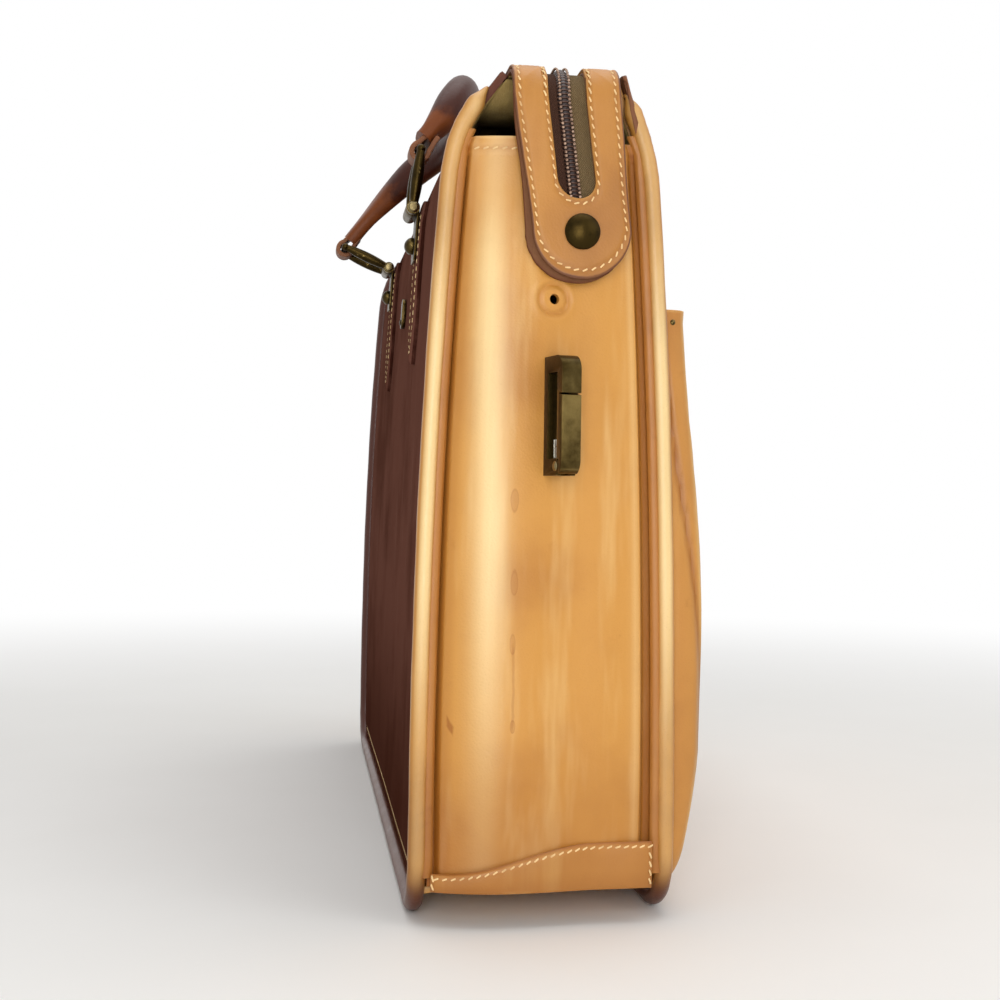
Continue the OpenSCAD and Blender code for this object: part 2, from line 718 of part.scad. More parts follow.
// Backing plate inside the gusset and the two screws that clamp the bracket
screw_z = 14;
screw_r = 1.5;
plate_w = 12;
plate_t = 1.5;
plate_x0 = -gusset_w - 2 * seat - 0.3;
module screw_cut() {
    for (m = [-1, 1]) translate([-gusset_w - 6, 0, m * screw_z]) rotate([0, 90, 0])
        cylinder(r = screw_r + pin_gap, h = gusset_w + 6 + 2.8, $fn = 24);
}
module backing_plate() {
    color(brass) at_bracket() difference() {
        translate([plate_x0 - plate_t, 0, 0]) rotate([90, 0, 90]) linear_extrude(plate_t) union() {
            square([plate_w, bracket_h - plate_w / 2], center = true);
            for (m = [-1, 1]) translate([0, m * (bracket_h - plate_w / 2) / 2])
                circle(d = plate_w, $fn = 48);
        }
        screw_cut();
    }
}
module near_backing_plate() backing_plate();
module far_backing_plate() mirror([1, 0, 0]) backing_plate();

module bracket_screw_pair() {
    back = plate_x0 - plate_t;
    for (m = [-1, 1]) at_bracket() translate([back, 0, m * screw_z]) rotate([0, 90, 0]) difference() {
        union() {
            cylinder(r = screw_r, h = 2.6 - back, $fn = 24);
            translate([0, 0, -1.8]) cylinder(r1 = 2.2, r2 = 2.9, h = 1.8, $fn = 32);
        }
        translate([-0.5, -4, -2.8]) cube([1, 8, 1.8]);
    }
}
module bracket_screws() {
    color("#9a9078") {
        bracket_screw_pair();
        mirror([1, 0, 0]) bracket_screw_pair();
    }
}

// Handles. A pivot's own frame: x along the case, y out of the face, z up the face.
// side is -1 for the front and 1 for the back; end is 1 for the near end and -1 for the far end.
clip_t = 1.1;
clip_w = 16;
clip_l = 22;
rivet_drop = 15;
rivet_r = 1.5;
barrel_r = pin_d / 2 + pin_gap + clip_t;
anchor_off = panel_w / 2 + seat;
clip_off = anchor_off + anchor_t + seat;
// Depth of the pivots below the shoulder
pivot_drop = 2.5;
function pivot_point(side, end) =
    panel_point(side, end * pivot_span / 2, 1 - pivot_drop / shoulder_z, clip_off + barrel_r);
function face_lean(side, x, t) = let (
    a = panel_point(side, x, t - 0.04),
    b = panel_point(side, x, t + 0.04))
    atan2(-side * (b[1] - a[1]), b[2] - a[2]);
module outward(side, lean) mirror([0, side < 0 ? 1 : 0, 0]) rotate([lean, 0, 0]) children();
module at_pivot(side, end) {
    translate(pivot_point(side, end))
        outward(side, face_lean(side, pivot_span / 2, 0.955)) children();
}
// The same place with z along a link that is turned outward from upright
module at_link(side, end, turn) {
    translate(pivot_point(side, end)) outward(side, -turn) children();
}

module rivet_cut(side) {
    for (end = [-1, 1]) at_pivot(side, end) translate([0, 0, -rivet_drop]) rotate([90, 0, 0])
        cylinder(r = rivet_r + pin_gap, h = 50, center = true, $fn = 24);
}

// Anchor: a leather tab on the face with a pointed lower end
anchor_rows = [[0, 0.05], [0.07, 0.19], [0.16, 0.35], [0.26, 0.46], [0.34, 0.5],
    [0.55, 0.5], [0.75, 0.5], [0.92, 0.5], [1, 0.5]];
module anchor(side, end) {
    function grid(off) = [for (r = anchor_rows) [for (j = [-1 : 0.5 : 1]) let (
        z = mix(shoulder_z - anchor_l, shoulder_z + 1, r[0]))
        panel_point(side, end * pivot_span / 2 - j * r[1] * anchor_w, z / shoulder_z, off)]];
    low = anchor_off;
    high = anchor_off + anchor_t;
    color(side < 0 ? umber : honey) difference() {
        sheet(grid(side < 0 ? high : low), grid(side < 0 ? low : high));
        rivet_cut(side);
    }
}
module front_near_anchor() anchor(-1, 1);
module front_far_anchor() anchor(-1, -1);
module back_near_anchor() anchor(1, 1);
module back_far_anchor() anchor(1, -1);

// Clip: sheet metal rolled round the pin, with a tongue down the anchor
module clip() {
    color(brass) difference() {
        // Barrel round the pin, with the flat tongue that runs down from it
        rotate([90, 0, 90]) linear_extrude(clip_w, center = true) difference() {
            union() {
                circle(r = barrel_r, $fn = 64);
                translate([-barrel_r, -clip_l + 4]) square([clip_t, clip_l - 4]);
            }
            circle(r = pin_d / 2 + pin_gap, $fn = 64);
        }
        translate([0, 0, -rivet_drop]) rotate([90, 0, 0])
            cylinder(r = rivet_r + pin_gap, h = 30, center = true, $fn = 24);
    }
    color(brass) translate([0, -barrel_r + clip_t, -clip_l + 4]) rotate([90, 0, 0])
        linear_extrude(clip_t) difference() {
            intersection() {
                circle(r = clip_w / 2, $fn = 64);
                translate([-clip_w / 2, -4]) square([clip_w, 4]);
            }
            translate([0, clip_l - 4 - rivet_drop]) circle(r = rivet_r + pin_gap, $fn = 24);
        }
}
module front_near_clip() at_pivot(-1, 1) clip();
module front_far_clip() at_pivot(-1, -1) clip();
module back_near_clip() at_pivot(1, 1) clip();
module back_far_clip() at_pivot(1, -1) clip();

// Rivets: domed head outside, shank through clip, anchor, panel and lining, washer inside
rivet_head_r = 3.7;
rivet_neck = 1.6;
rivet_dome = 2.4;
rivet_grip = clip_t + anchor_t + panel_w + lining_w + 4 * seat;
module clip_rivet() {
    dome_r = (pow(rivet_head_r, 2) + pow(rivet_dome, 2)) / (2 * rivet_dome);
    translate([0, clip_t - barrel_r, -rivet_drop]) rotate([-90, 0, 0]) {
        cylinder(r = rivet_head_r, h = rivet_neck, $fn = 48);
        translate([0, 0, rivet_neck]) intersection() {
            cylinder(r = rivet_head_r, h = rivet_dome, $fn = 48);
            translate([0, 0, rivet_dome - dome_r]) sphere(r = dome_r, $fn = 64);
        }
        translate([0, 0, -rivet_grip - 1]) cylinder(r = rivet_r, h = rivet_grip + 1.2, $fn = 32);
        translate([0, 0, -rivet_grip - 1]) cylinder(r = 4.2, h = 1, $fn = 48);
    }
}
module clip_rivets() {
    color(brass) for (side = [-1, 1]) for (end = [-1, 1]) at_pivot(side, end) clip_rivet();
}

// Link pins, with a flat head beyond each eye
eye_t = 3.4;
link_x = clip_w / 2 + seat + eye_t / 2;
pin_half = link_x + eye_t / 2 + seat;
module link_pin() {
    rotate([0, 90, 0]) {
        cylinder(d = pin_d, h = 2 * pin_half + 0.2, center = true, $fn = 64);
        for (m = [0, 1]) mirror([0, 0, m]) translate([0, 0, pin_half])
            cylinder(r1 = pin_d / 2 + 0.6, r2 = pin_d / 2 - 0.2, h = 0.9, $fn = 48);
    }
}
module front_link_pins() color("#b9ab7c") for (end = [-1, 1]) at_pivot(-1, end) link_pin();
module back_link_pins() color("#b9ab7c") for (end = [-1, 1]) at_pivot(1, end) link_pin();

// Link: two bars that swell in the middle, an eye at the foot of each and a cross bar
swell_r = 2.65;
bar_end_r = 1.5;
cross_r = 2;
eye_r_link = 2.9;
module swelling_bar() {
    rise = swell_r - bar_end_r;
    curve_r = (link_l * link_l / 4 + rise * rise) / (2 * rise);
    rotate_extrude($fn = 48) intersection() {
        square([swell_r + 1, link_l]);
        translate([swell_r - curve_r, link_l / 2]) circle(r = curve_r, $fn = 360);
    }
}
module link() {
    color(brass) difference() {
        union() {
            for (m = [-1, 1]) translate([m * link_x, 0, 0]) {
                swelling_bar();
                rotate([0, 90, 0]) cylinder(r = eye_r_link, h = eye_t, center = true, $fn = 48);
                translate([0, 0, link_l]) sphere(r = cross_r, $fn = 48);
            }
            translate([0, 0, link_l]) rotate([0, 90, 0])
                cylinder(r = cross_r, h = 2 * link_x, center = true, $fn = 48);
        }
        rotate([0, 90, 0]) cylinder(r = pin_d / 2 + pin_gap, h = 60, center = true, $fn = 64);
    }
}
front_near_turn = -7;
front_far_turn = 66;
back_turn = 163;
module front_near_link() at_link(-1, 1, front_near_turn) link();
module front_far_link() at_link(-1, -1, front_far_turn) link();
module back_near_link() at_link(1, 1, back_turn) link();
module back_far_link() at_link(1, -1, back_turn) link();

// Grip: flat straps that loop round the cross bars and swell into a rolled grip.
// Its points are [along the case, out of the face, up], measured from the line of the pivots.
loop_w = 13;
loop_r = cross_r + seat + 2.6;
strap_half = 1.9;
function link_end(turn) = link_l * [sin(turn), cos(turn)];
half_span = pivot_span / 2;
// Height of the resting front grip over its pivots, and how far it leans in over the top
grip_rise = 63;
grip_lean = 31;
grip_front = let (n = link_end(front_near_turn), f = link_end(front_far_turn)) [
    [half_span, n[0] - 1.4, n[1] + loop_r - 1.2],
    [half_span - 1, -0.29 * grip_lean, n[1] + loop_r + 6.1],
    [half_span - 5, -0.52 * grip_lean, 0.73 * grip_rise],
    [half_span - 13, -0.68 * grip_lean, 0.857 * grip_rise],
    [half_span - 26, -0.81 * grip_lean, 0.944 * grip_rise],
    [half_span * 0.36, -0.935 * grip_lean, 0.984 * grip_rise],
    [0, -grip_lean, grip_rise],
    [-half_span * 0.36, -0.968 * grip_lean, 0.984 * grip_rise],
    [-half_span + 28, -0.742 * grip_lean, 0.92 * grip_rise],
    [-half_span + 14, -0.29 * grip_lean, 0.762 * grip_rise],
    [-half_span + 4, 0.258 * grip_lean, 0.492 * grip_rise],
    [-half_span, f[0] - 3, f[1] + loop_r - 2]];
hang_d = [[0, 0], [1, 10], [7, 21], [19, 29], [34, 33], [54, 36]];
function hang_point(end, p) = let (d = link_l + loop_r - 1.2 + p[1])
    [end * (half_span - p[0]), d * sin(back_turn), d * cos(back_turn)];
grip_back = concat([for (p = hang_d) hang_point(1, p)],
    [for (i = [len(hang_d) - 1 : -1 : 0]) hang_point(-1, hang_d[i])]);

// A smooth curve through points, with n steps between each two
function curve(p, n) = [for (i = [0 : len(p) - 2]) for (k = [0 : (i == len(p) - 2 ? n : n - 1)]) let (
    u = k / n,
    a = p[max(0, i - 1)], b = p[i], c = p[i + 1], d = p[min(len(p) - 1, i + 2)])
    0.5 * (2 * b + (c - a) * u + (2 * a - 5 * b + 4 * c - d) * u * u
        + (3 * b - a - 3 * c + d) * u * u * u)];
module handle_grip(side, points, near_turn, far_turn) {
    y0 = pivot_point(side, 1)[1];
    z0 = pivot_point(side, 1)[2];
    path = curve([for (p = points) [p[0], y0 + side * p[1], z0 + p[2]]], 2);
    n = len(path) - 1;
    radii = [for (i = [0 : n]) let (u = smooth((min(i, n - i) - 2) / 4))
        [mix(strap_half, grip_d / 2, u), mix(loop_w / 2, grip_d / 2, u)]];
    color(umber) difference() {
        union() {
            sweep(path, radii, 12, [0, 1, 0]);
            loop_block(side, 1, near_turn);
            loop_block(side, -1, far_turn);
        }
        loop_bore(side, 1, near_turn);
        loop_bore(side, -1, far_turn);
    }
}
module loop_block(side, end, turn) at_link(side, end, turn)
    translate([0, 0, link_l]) rotate([0, 90, 0]) cylinder(r = loop_r, h = loop_w, center = true, $fn = 48);
module loop_bore(side, end, turn) at_link(side, end, turn)
    translate([0, 0, link_l]) rotate([0, 90, 0])
        cylinder(r = cross_r + seat, h = 60, center = true, $fn = 48);
module front_handle_grip() handle_grip(-1, grip_front, front_near_turn, front_far_turn);
module back_handle_grip() handle_grip(1, grip_back, back_turn, back_turn);

// Back pocket: a full leather panel sewn down on three edges and open at the top
pocket_in = corner_in - 1;
pocket_end_x = panel_end_x - 1;
pocket_corner = [for (a = [0 : 22.5 : 90])
    [corner_z - pocket_in * cos(a), piping_x - corner_r + pocket_in * sin(a)]];
pocket_rows = concat(pocket_corner, [for (u = [0.2, 0.32, 0.45, 0.58, 0.7, 0.8, 0.9, 1])
    [u * pocket_top, pocket_end_x]]);
pocket_c = [-1, -0.996, -0.988, -0.975, -0.95, -0.8, -0.4, 0, 0.4, 0.8, 0.95, 0.975, 0.988, 0.996, 1];
pocket_low = pocket_corner[0][0];
// Height over which the pocket fills out from its foot
pocket_foot = 50;
function pocket_rise(z) = pocket_full * sqrt(min(1, (z - pocket_low) / pocket_foot))
    * (1 - 0.22 * smooth((z - pocket_top / 2) / (pocket_top / 2)));
function pocket_edge(c) = sqrt(max(0, 1 - pow(abs(c), 90)));
module back_pocket() {
    function grid(wall) = [for (r = pocket_rows) [for (c = pocket_c) let (
        inset = pocket_w - wall,
        z = r[0] + (r[0] < corner_z ? inset * (corner_z - r[0]) / pocket_in : 0),
        full = pocket_edge(c) * (pocket_rise(r[0]) + wall * (r[0] > pocket_low + 1 ? 1 : 0)),
        p = panel_point(1, 0, z / shoulder_z, panel_w / 2 + seat))
        [c * (r[1] - inset), p[1] + full, z]]];
    color(honey) sheet(grid(pocket_w), grid(0));
}

// Small metal plate at the middle of the front, on one rivet
front_plate_h = 14.7;
front_plate_w = 8;
front_plate_t = 1.8;
front_plate_drop = 67.5;
front_plate_z = case_h - front_plate_drop;
module at_front_plate() {
    t = front_plate_z / shoulder_z;
    translate(panel_point(-1, 0, t, panel_w / 2 + seat)) outward(-1, face_lean(-1, 0, t)) children();
}
module plate_rivet_cut() {
    at_front_plate() rotate([90, 0, 0]) cylinder(r = rivet_r + pin_gap, h = 30, center = true, $fn = 24);
}
module front_plate() {
    deep = seat * 2 + panel_w + lining_w + seat;
    color(brass) at_front_plate() rotate([-90, 0, 0]) {
        linear_extrude(front_plate_t) union() {
            square([front_plate_w, front_plate_h - front_plate_w], center = true);
            for (m = [-1, 1]) translate([0, m * (front_plate_h - front_plate_w) / 2])
                circle(d = front_plate_w, $fn = 48);
        }
        translate([0, 0, -deep - 1]) cylinder(r = rivet_r, h = deep + 2, $fn = 32);
        translate([0, 0, -deep - 1]) cylinder(r = 4, h = 1, $fn = 48);
        translate([0, front_plate_h / 2 - 3, front_plate_t])
            cylinder(r1 = 1.6, r2 = 1.1, h = 0.7, $fn = 32);
    }
}

front_panel();
back_panel();
near_gusset();
far_gusset();
base_panel();
base_board();
near_end_flap();
far_end_flap();
front_piping();
back_piping();
front_lining();
back_lining();
front_zip_band();
back_zip_band();
zip_tape();
zip_teeth();
zip_slider();
zip_pull();
near_tab_fold();
far_tab_fold();
near_end_tab();
far_end_tab();
near_tab_zip();
far_tab_zip();
near_snap_cap();
far_snap_cap();
near_snap_socket();
far_snap_socket();
far_snap_stud();
near_strap_bracket();
far_strap_bracket();
near_gate();
far_gate();
gate_pins();
near_gate_spring();
far_gate_spring();
near_backing_plate();
far_backing_plate();
bracket_screws();
front_near_anchor();
front_far_anchor();
back_near_anchor();
back_far_anchor();
front_near_clip();
front_far_clip();
back_near_clip();
back_far_clip();
front_near_link();
front_far_link();
back_near_link();
back_far_link();
front_link_pins();
back_link_pins();
clip_rivets();
front_handle_grip();
back_handle_grip();
back_pocket();
front_plate();
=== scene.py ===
# %% [markdown]
# # A zip-top leather briefcase
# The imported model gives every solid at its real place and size. This lesson dresses it: each soft
# piece of leather, cloth and thread is made again with its folds, seams and stitches, and the metal
# keeps its solids and gets rounded edges and an aged finish. The frame is loaded first, because each
# piece is placed from it. X runs along the case, the front face looks to -Y and Z is up.

# %% Load the frame
import math
import bpy
import numpy as np
from mathutils import Matrix, Vector


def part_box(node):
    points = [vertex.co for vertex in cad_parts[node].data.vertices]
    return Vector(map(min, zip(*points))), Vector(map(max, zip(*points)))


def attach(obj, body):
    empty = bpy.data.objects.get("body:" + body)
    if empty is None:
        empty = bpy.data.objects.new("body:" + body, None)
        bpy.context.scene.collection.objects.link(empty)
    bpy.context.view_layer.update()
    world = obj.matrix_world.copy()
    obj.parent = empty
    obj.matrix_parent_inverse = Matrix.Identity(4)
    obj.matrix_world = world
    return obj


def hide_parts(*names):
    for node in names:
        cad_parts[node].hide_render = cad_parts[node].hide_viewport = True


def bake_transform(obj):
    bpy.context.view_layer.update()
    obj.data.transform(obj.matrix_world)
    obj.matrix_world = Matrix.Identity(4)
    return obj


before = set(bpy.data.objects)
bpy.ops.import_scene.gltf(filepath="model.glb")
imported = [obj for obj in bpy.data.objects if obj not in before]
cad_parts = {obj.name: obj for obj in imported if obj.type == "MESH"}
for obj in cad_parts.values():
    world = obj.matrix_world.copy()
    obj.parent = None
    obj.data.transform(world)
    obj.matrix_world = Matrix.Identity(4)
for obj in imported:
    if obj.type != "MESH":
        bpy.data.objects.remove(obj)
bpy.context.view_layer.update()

MM = 0.001
ENDS, SIDES = ((1, "near"), (-1, "far")), ((-1, "front"), (1, "back"))


def fresh():
    """Leaves nothing selected, before a new piece is made."""
    bpy.ops.object.select_all(action="DESELECT")


fresh()
print("solids in the frame:", len(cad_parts))

# %% [markdown]
# ## Camera
# The picture looks at the near end from half a metre, a little above the middle of the case. The
# lines that run along the case meet at one point left of the middle of the picture. A camera that is
# turned by the angle of that point, instead of being shifted, gives the same lines.

# %% Camera
LENS = 52.15
YAW, PITCH, ROLL = 7.99, 0.13, 0.77
bpy.ops.object.camera_add(location=(0.7209, -0.0909, 0.1555))
camera = bpy.context.object
camera.data.lens = LENS
turn = Matrix.Rotation(math.radians(90 - YAW), 4, "Z") @ Matrix.Rotation(math.radians(90 - PITCH), 4, "X")
turn = turn @ Matrix.Rotation(math.radians(ROLL), 4, "Z")
camera.matrix_world = Matrix.Translation(camera.location) @ turn
camera.data.clip_start = 0.01
bpy.context.scene.camera = camera
print("camera looks along", [round(v, 3) for v in turn @ Vector((0, 0, -1))])

# %% [markdown]
# ## A small language for shaders
# Node trees grow long when each sum is a node made by hand. Here a Wire holds one output socket, and
# Python's own signs add the Math nodes. A Paint holds one material and makes every other node.

# %% Wire and Paint


class Wire:
    """One value in a shader, on which Python's signs add Math nodes."""

    def __init__(self, paint, socket):
        self.paint, self.socket = paint, socket

    def sum(self, operation, a, b=0.0):
        return self.paint.node("ShaderNodeMath", {"operation": operation}, a, b)

    def __abs__(self):
        return self.sum("ABSOLUTE", self)

    def sine(self):
        return self.sum("SINE", self)


SIGNS = {"add": "ADD", "sub": "SUBTRACT", "mul": "MULTIPLY", "truediv": "DIVIDE", "pow": "POWER"}
for sign, operation in SIGNS.items():
    setattr(Wire, f"__{sign}__", lambda a, b, o=operation: a.sum(o, a, b))
    setattr(Wire, f"__r{sign}__", lambda a, b, o=operation: a.sum(o, b, a))


class Paint:
    """One material, with short calls for its nodes."""

    def __init__(self, name):
        self.material = bpy.data.materials.new(name)
        self.material.use_nodes = True
        self.tree = self.material.node_tree
        self.skin = self.tree.nodes["Principled BSDF"]

    def plug(self, socket, value):
        if isinstance(value, Wire):
            self.tree.links.new(value.socket, socket)
        else:
            socket.default_value = value

    def node(self, kind, settings=None, *values, out=0, **named):
        made = self.tree.nodes.new(kind)
        for key, value in (settings or {}).items():
            setattr(made, key, value)
        for i, value in enumerate(values):
            self.plug(made.inputs[i], value)
        for key, value in named.items():
            self.plug(made.inputs[key.replace("_", " ")], value)
        return Wire(self, made.outputs[out])

    def place(self, scale=(1, 1, 1)):
        spot = self.node("ShaderNodeTexCoord", out=3)
        return self.node("ShaderNodeMapping", None, Vector=spot, Scale=scale)

    def along(self, axis):
        return self.node("ShaderNodeSeparateXYZ", None, self.place(), out="XYZ".index(axis))

    def noise(self, vector, scale, detail=3.0, rough=0.5):
        return self.node("ShaderNodeTexNoise", None, Vector=vector, Scale=scale, Detail=detail, Roughness=rough)

    def cells(self, vector, scale):
        return self.node("ShaderNodeTexVoronoi", None, Vector=vector, Scale=scale)

    def ramp(self, value, low, high):
        return self.node("ShaderNodeMapRange", {"interpolation_type": "SMOOTHSTEP"}, value, low, high, 0.0, 1.0)

    def mark(self, name):
        return self.node("ShaderNodeAttribute", {"attribute_name": name}, out=2)

    def mix(self, a, b, amount):
        made = self.tree.nodes.new("ShaderNodeMix")
        made.data_type = "RGBA"
        for i, value in ((0, amount), (6, a), (7, b)):
            self.plug(made.inputs[i], value)
        return Wire(self, made.outputs[2])

    def bump(self, height, depth):
        normal = self.node("ShaderNodeBump", None, Height=height, Distance=depth)
        self.plug(self.skin.inputs["Normal"], normal)

    def set(self, **sockets):
        for key, value in sockets.items():
            self.plug(self.skin.inputs[key.replace("_", " ")], value)
        return self.material


def shade(r, g, b):
    """A colour written as it is seen, turned to the linear values that shaders use."""
    return tuple(((v / 255 + 0.055) / 1.055) ** 2.4 if v > 10 else v / 255 / 12.92 for v in (r, g, b)) + (1.0,)


# %% [markdown]
# ## Leather
# Vegetable-tanned leather is even in colour from afar and alive from near: clouds where oil has sunk
# in, fine pores, hair-thin scratches, and edges that hands have darkened. One function makes all the
# leathers of this case from three tones. Pieces tell it where their rims are through an attribute.

# %% Leather finish


def leather(name, tone, deep, pale, gloss=0.42, rubbed=0.3, edge=None, shine=0.45, stained=False, shade_and_feet_tone=None):
    """Three tones, written as they are seen; edge is the tone of a worn rim, and shade_and_feet_tone that of painted
    shade and of darker feet.
    """
    p = Paint(name)
    tone, deep, pale = shade(*tone), shade(*deep), shade(*pale)
    spot = p.place()
    clouds = p.noise(spot, 14.0, 4.0, 0.55)
    streaks = p.noise(p.place((1, 1, 0.12)), 90.0, 3.0, 0.6)
    patches = p.noise(spot, 60.0, 5.0, 0.65)
    fine = p.cells(spot, 1100.0)
    speck = p.noise(spot, 2300.0, 2.0, 0.6)
    scratch = p.noise(p.place((1, 1, 0.06)), 420.0, 2.0, 0.7)
    colour = p.mix(tone, deep, p.ramp(clouds, 0.42, 0.72) * 0.5)
    colour = p.mix(colour, pale, p.ramp(streaks, 0.5, 0.8) * 0.25)
    colour = p.mix(colour, deep, p.ramp(patches, 0.62, 0.78) * 0.3)
    # This paints a highlight in the pale tone on the gusset's fold and right edge, the piping's outer side and the
    # pocket's rim. On the strip it makes the window's edge pale.
    colour = p.mix(colour, pale, p.mark("light") * 0.75)
    # This darkens toward the deep tone. It is painted shade at the foot of the front panel and at the top right of the
    # gusset. Elsewhere it makes feet, bottoms, edges and flaps darker.
    colour = p.mix(colour, deep, p.mark("patina_and_shade") * 0.8)
    colour = p.mix(colour, deep, p.ramp(fine, 0.25, 0.02) * 0.16)
    worn = p.ramp(p.mark("rim") + (patches - 0.5) * 1.4, 0.45, 1.0)
    colour = p.mix(colour, edge or pale, worn * (0.9 if edge else rubbed))
    colour = p.mix(colour, deep, p.mark("seam") * 0.75)
    if stained:
        colour = p.mix(colour, deep, stains(p, patches))
    # This dark tone is painted shade on the far end of the front piping, and it also darkens the piping's feet.
    if shade_and_feet_tone:
        colour = p.mix(colour, shade_and_feet_tone, p.mark("painted_shade_and_feet"))
    rough = gloss + (patches - 0.5) * 0.22 + p.ramp(scratch, 0.6, 0.7) * 0.08
    p.bump(fine * 0.5 + speck * 0.22 + patches * 0.9 + p.mark("seam") * -1.2, 0.00011)
    return p.set(Base_Color=colour, Roughness=rough, Specular_IOR_Level=shine)


def stains(p, patches):
    """Old water drops on the gusset, each with a darker rim, a thin trail below and one small scuff."""
    y, z = p.along("Y"), p.along("Z")
    marks = 0.0
    drops = (-13.5, 154.0, 1.4, 4.2), (-13.3, 125.0, 1.3, 4.6), (-13.6, 102.5, 1.0, 3.4), (-13.3, 73.0, 0.9, 2.2)
    for py, pz, wide, tall in drops:
        away = ((y - py * MM) / (wide * MM)) ** 2 + ((z - pz * MM) / (tall * MM)) ** 2 + (patches - 0.5) * 2.2
        marks = p.ramp(away, 1.25, 0.8) * 0.22 + p.ramp(abs(away - 1.0), 0.4, 0.0) * 0.22 + marks
    trail = p.ramp(abs(y + 0.0134 + (patches - 0.5) * 0.0025), 0.0007, 0.0002)
    length = p.ramp(z, 0.070, 0.074) * p.ramp(z, 0.104, 0.100)
    up = z - 0.0725
    scuff = abs(y + 0.0352 + up * 0.3) + abs(up) * 0.32 + (patches - 0.5) * 0.003
    return trail * length * 0.3 + p.ramp(scuff, 0.0017, 0.0006) * 0.75 + marks


BURNT = shade(96, 52, 28)
OXBLOOD = shade(58, 26, 18)
honey = leather("honey leather", (196, 136, 62), (144, 82, 24), (236, 194, 120), 0.44)
gusset_hide = leather("gusset leather", (206, 146, 66), (154, 88, 22), (255, 226, 166), 0.42, stained=True)
tab_hide = leather("tab leather", (186, 126, 52), (128, 72, 22), (212, 160, 86), 0.48, edge=BURNT)
ply_hide = leather("second ply", (112, 70, 40), (70, 38, 20), (150, 104, 66), 0.6, edge=BURNT, shine=0.2)
# The front leather is a darker, redder tone than the tan, partly its own colour and partly painted shade of the front
# face.
russet_and_shade = leather("russet front leather", (114, 74, 62), (64, 31, 20), (136, 96, 82), 0.6, edge=OXBLOOD, shine=0.0)
rolled = leather(
    "piping leather", (192, 132, 58), (104, 58, 22), (255, 228, 168), 0.34, 0.2, shine=0.35, shade_and_feet_tone=shade(84, 44, 32),
)
grip_hide = leather("handle leather", (66, 28, 16), (36, 14, 8), (96, 50, 32), 0.4, edge=shade(124, 66, 30), shine=0.2)
strap_hide = leather("strap leather", (128, 82, 56), (80, 44, 26), (164, 114, 84), 0.5, 0.4, shine=0.12)
welt_hide = leather("welt leather", (178, 116, 50), (122, 68, 22), (206, 148, 76), 0.45, 0.3)


# %% [markdown]
# ## Suede, cloth and thread
# The lining is the rough side of a hide: no gloss, soft patches. The zip tape is a fine weave, which
# two crossed waves give. The coil is dark nylon, and the thread is pale waxed linen with a twist.

# %% Suede, tape, coil and thread
COIL_PITCH, COIL_ROW, COIL_SHIFT, COIL_H = 1.45, 1.7, -1.1, 2.15


def suede_finish():
    p = Paint("olive suede")
    spot = p.place()
    nap = p.noise(spot, 1500.0, 4.0, 0.7)
    patch = p.noise(spot, 45.0, 4.0, 0.6)
    colour = p.mix(shade(156, 132, 80), shade(112, 90, 50), p.ramp(patch, 0.35, 0.7))
    colour = p.mix(colour, shade(176, 160, 108), p.ramp(nap, 0.55, 0.8) * 0.5)
    p.bump(nap + patch * 2.0, 0.0004)
    return p.set(Base_Color=colour, Roughness=0.95, Specular_IOR_Level=0.15)


def tape_finish():
    p = Paint("woven tape")
    run, across = p.mark("run"), p.mark("across")
    weave = (run * 7.0).sine() * (across * 8.0).sine()
    fluff = p.noise(p.place(), 900.0, 4.0, 0.7)
    colour = p.mix(shade(98, 80, 52), shade(150, 126, 90), weave * 0.3 + fluff * 0.5)
    # The left half of the tape is darkened as painted shade.
    colour = p.mix(colour, shade(66, 38, 30), p.mark("dark") * 0.9)
    p.bump(weave * 0.5 + fluff, 0.0003)
    return p.set(Base_Color=colour, Roughness=0.88, Specular_IOR_Level=0.2)


def coil_finish():
    p = Paint("nylon coil")
    spot = p.place()
    rub = p.ramp(p.noise(spot, 900.0, 3.0, 0.6), 0.4, 0.65)
    colour = p.mix(shade(122, 92, 74), shade(190, 158, 134), rub)
    p.bump(p.noise(spot, 3000.0, 2.0, 0.5), 0.00005)
    return p.set(Base_Color=colour, Roughness=0.42)


def core_finish():
    p = Paint("coil core")
    ribs = (p.mark("run") * (2 * math.pi / COIL_PITCH)).sine()
    # Each rib is painted lighter and each gap darker, as painted light and shade of the coil's turns.
    colour = p.mix(shade(40, 22, 18), shade(84, 56, 44), p.ramp(ribs, -0.2, 0.9))
    p.bump(ribs, 0.0004)
    return p.set(Base_Color=colour, Roughness=0.45)


def thread_finish():
    p = Paint("waxed thread")
    spot = p.place()
    twist = p.noise(spot, 1900.0, 2.0, 0.6)
    grime = p.ramp(p.noise(spot, 90.0, 3.0, 0.6), 0.4, 0.75)
    colour = p.mix(shade(240, 206, 148), shade(190, 142, 84), grime * 0.7)
    p.bump(twist, 0.0001)
    return p.set(Base_Color=colour, Roughness=0.6)


suede, tape, coil, core, thread = suede_finish(), tape_finish(), coil_finish(), core_finish(), thread_finish()

# %% [markdown]
# ## Metal
# The fittings are plated in antique brass: olive-brown in the hollows, rubbed to a warm yellow where
# leather and hands pass. A bevel on each edge catches the light, and noise breaks up the plating.

# %% Metal finishes


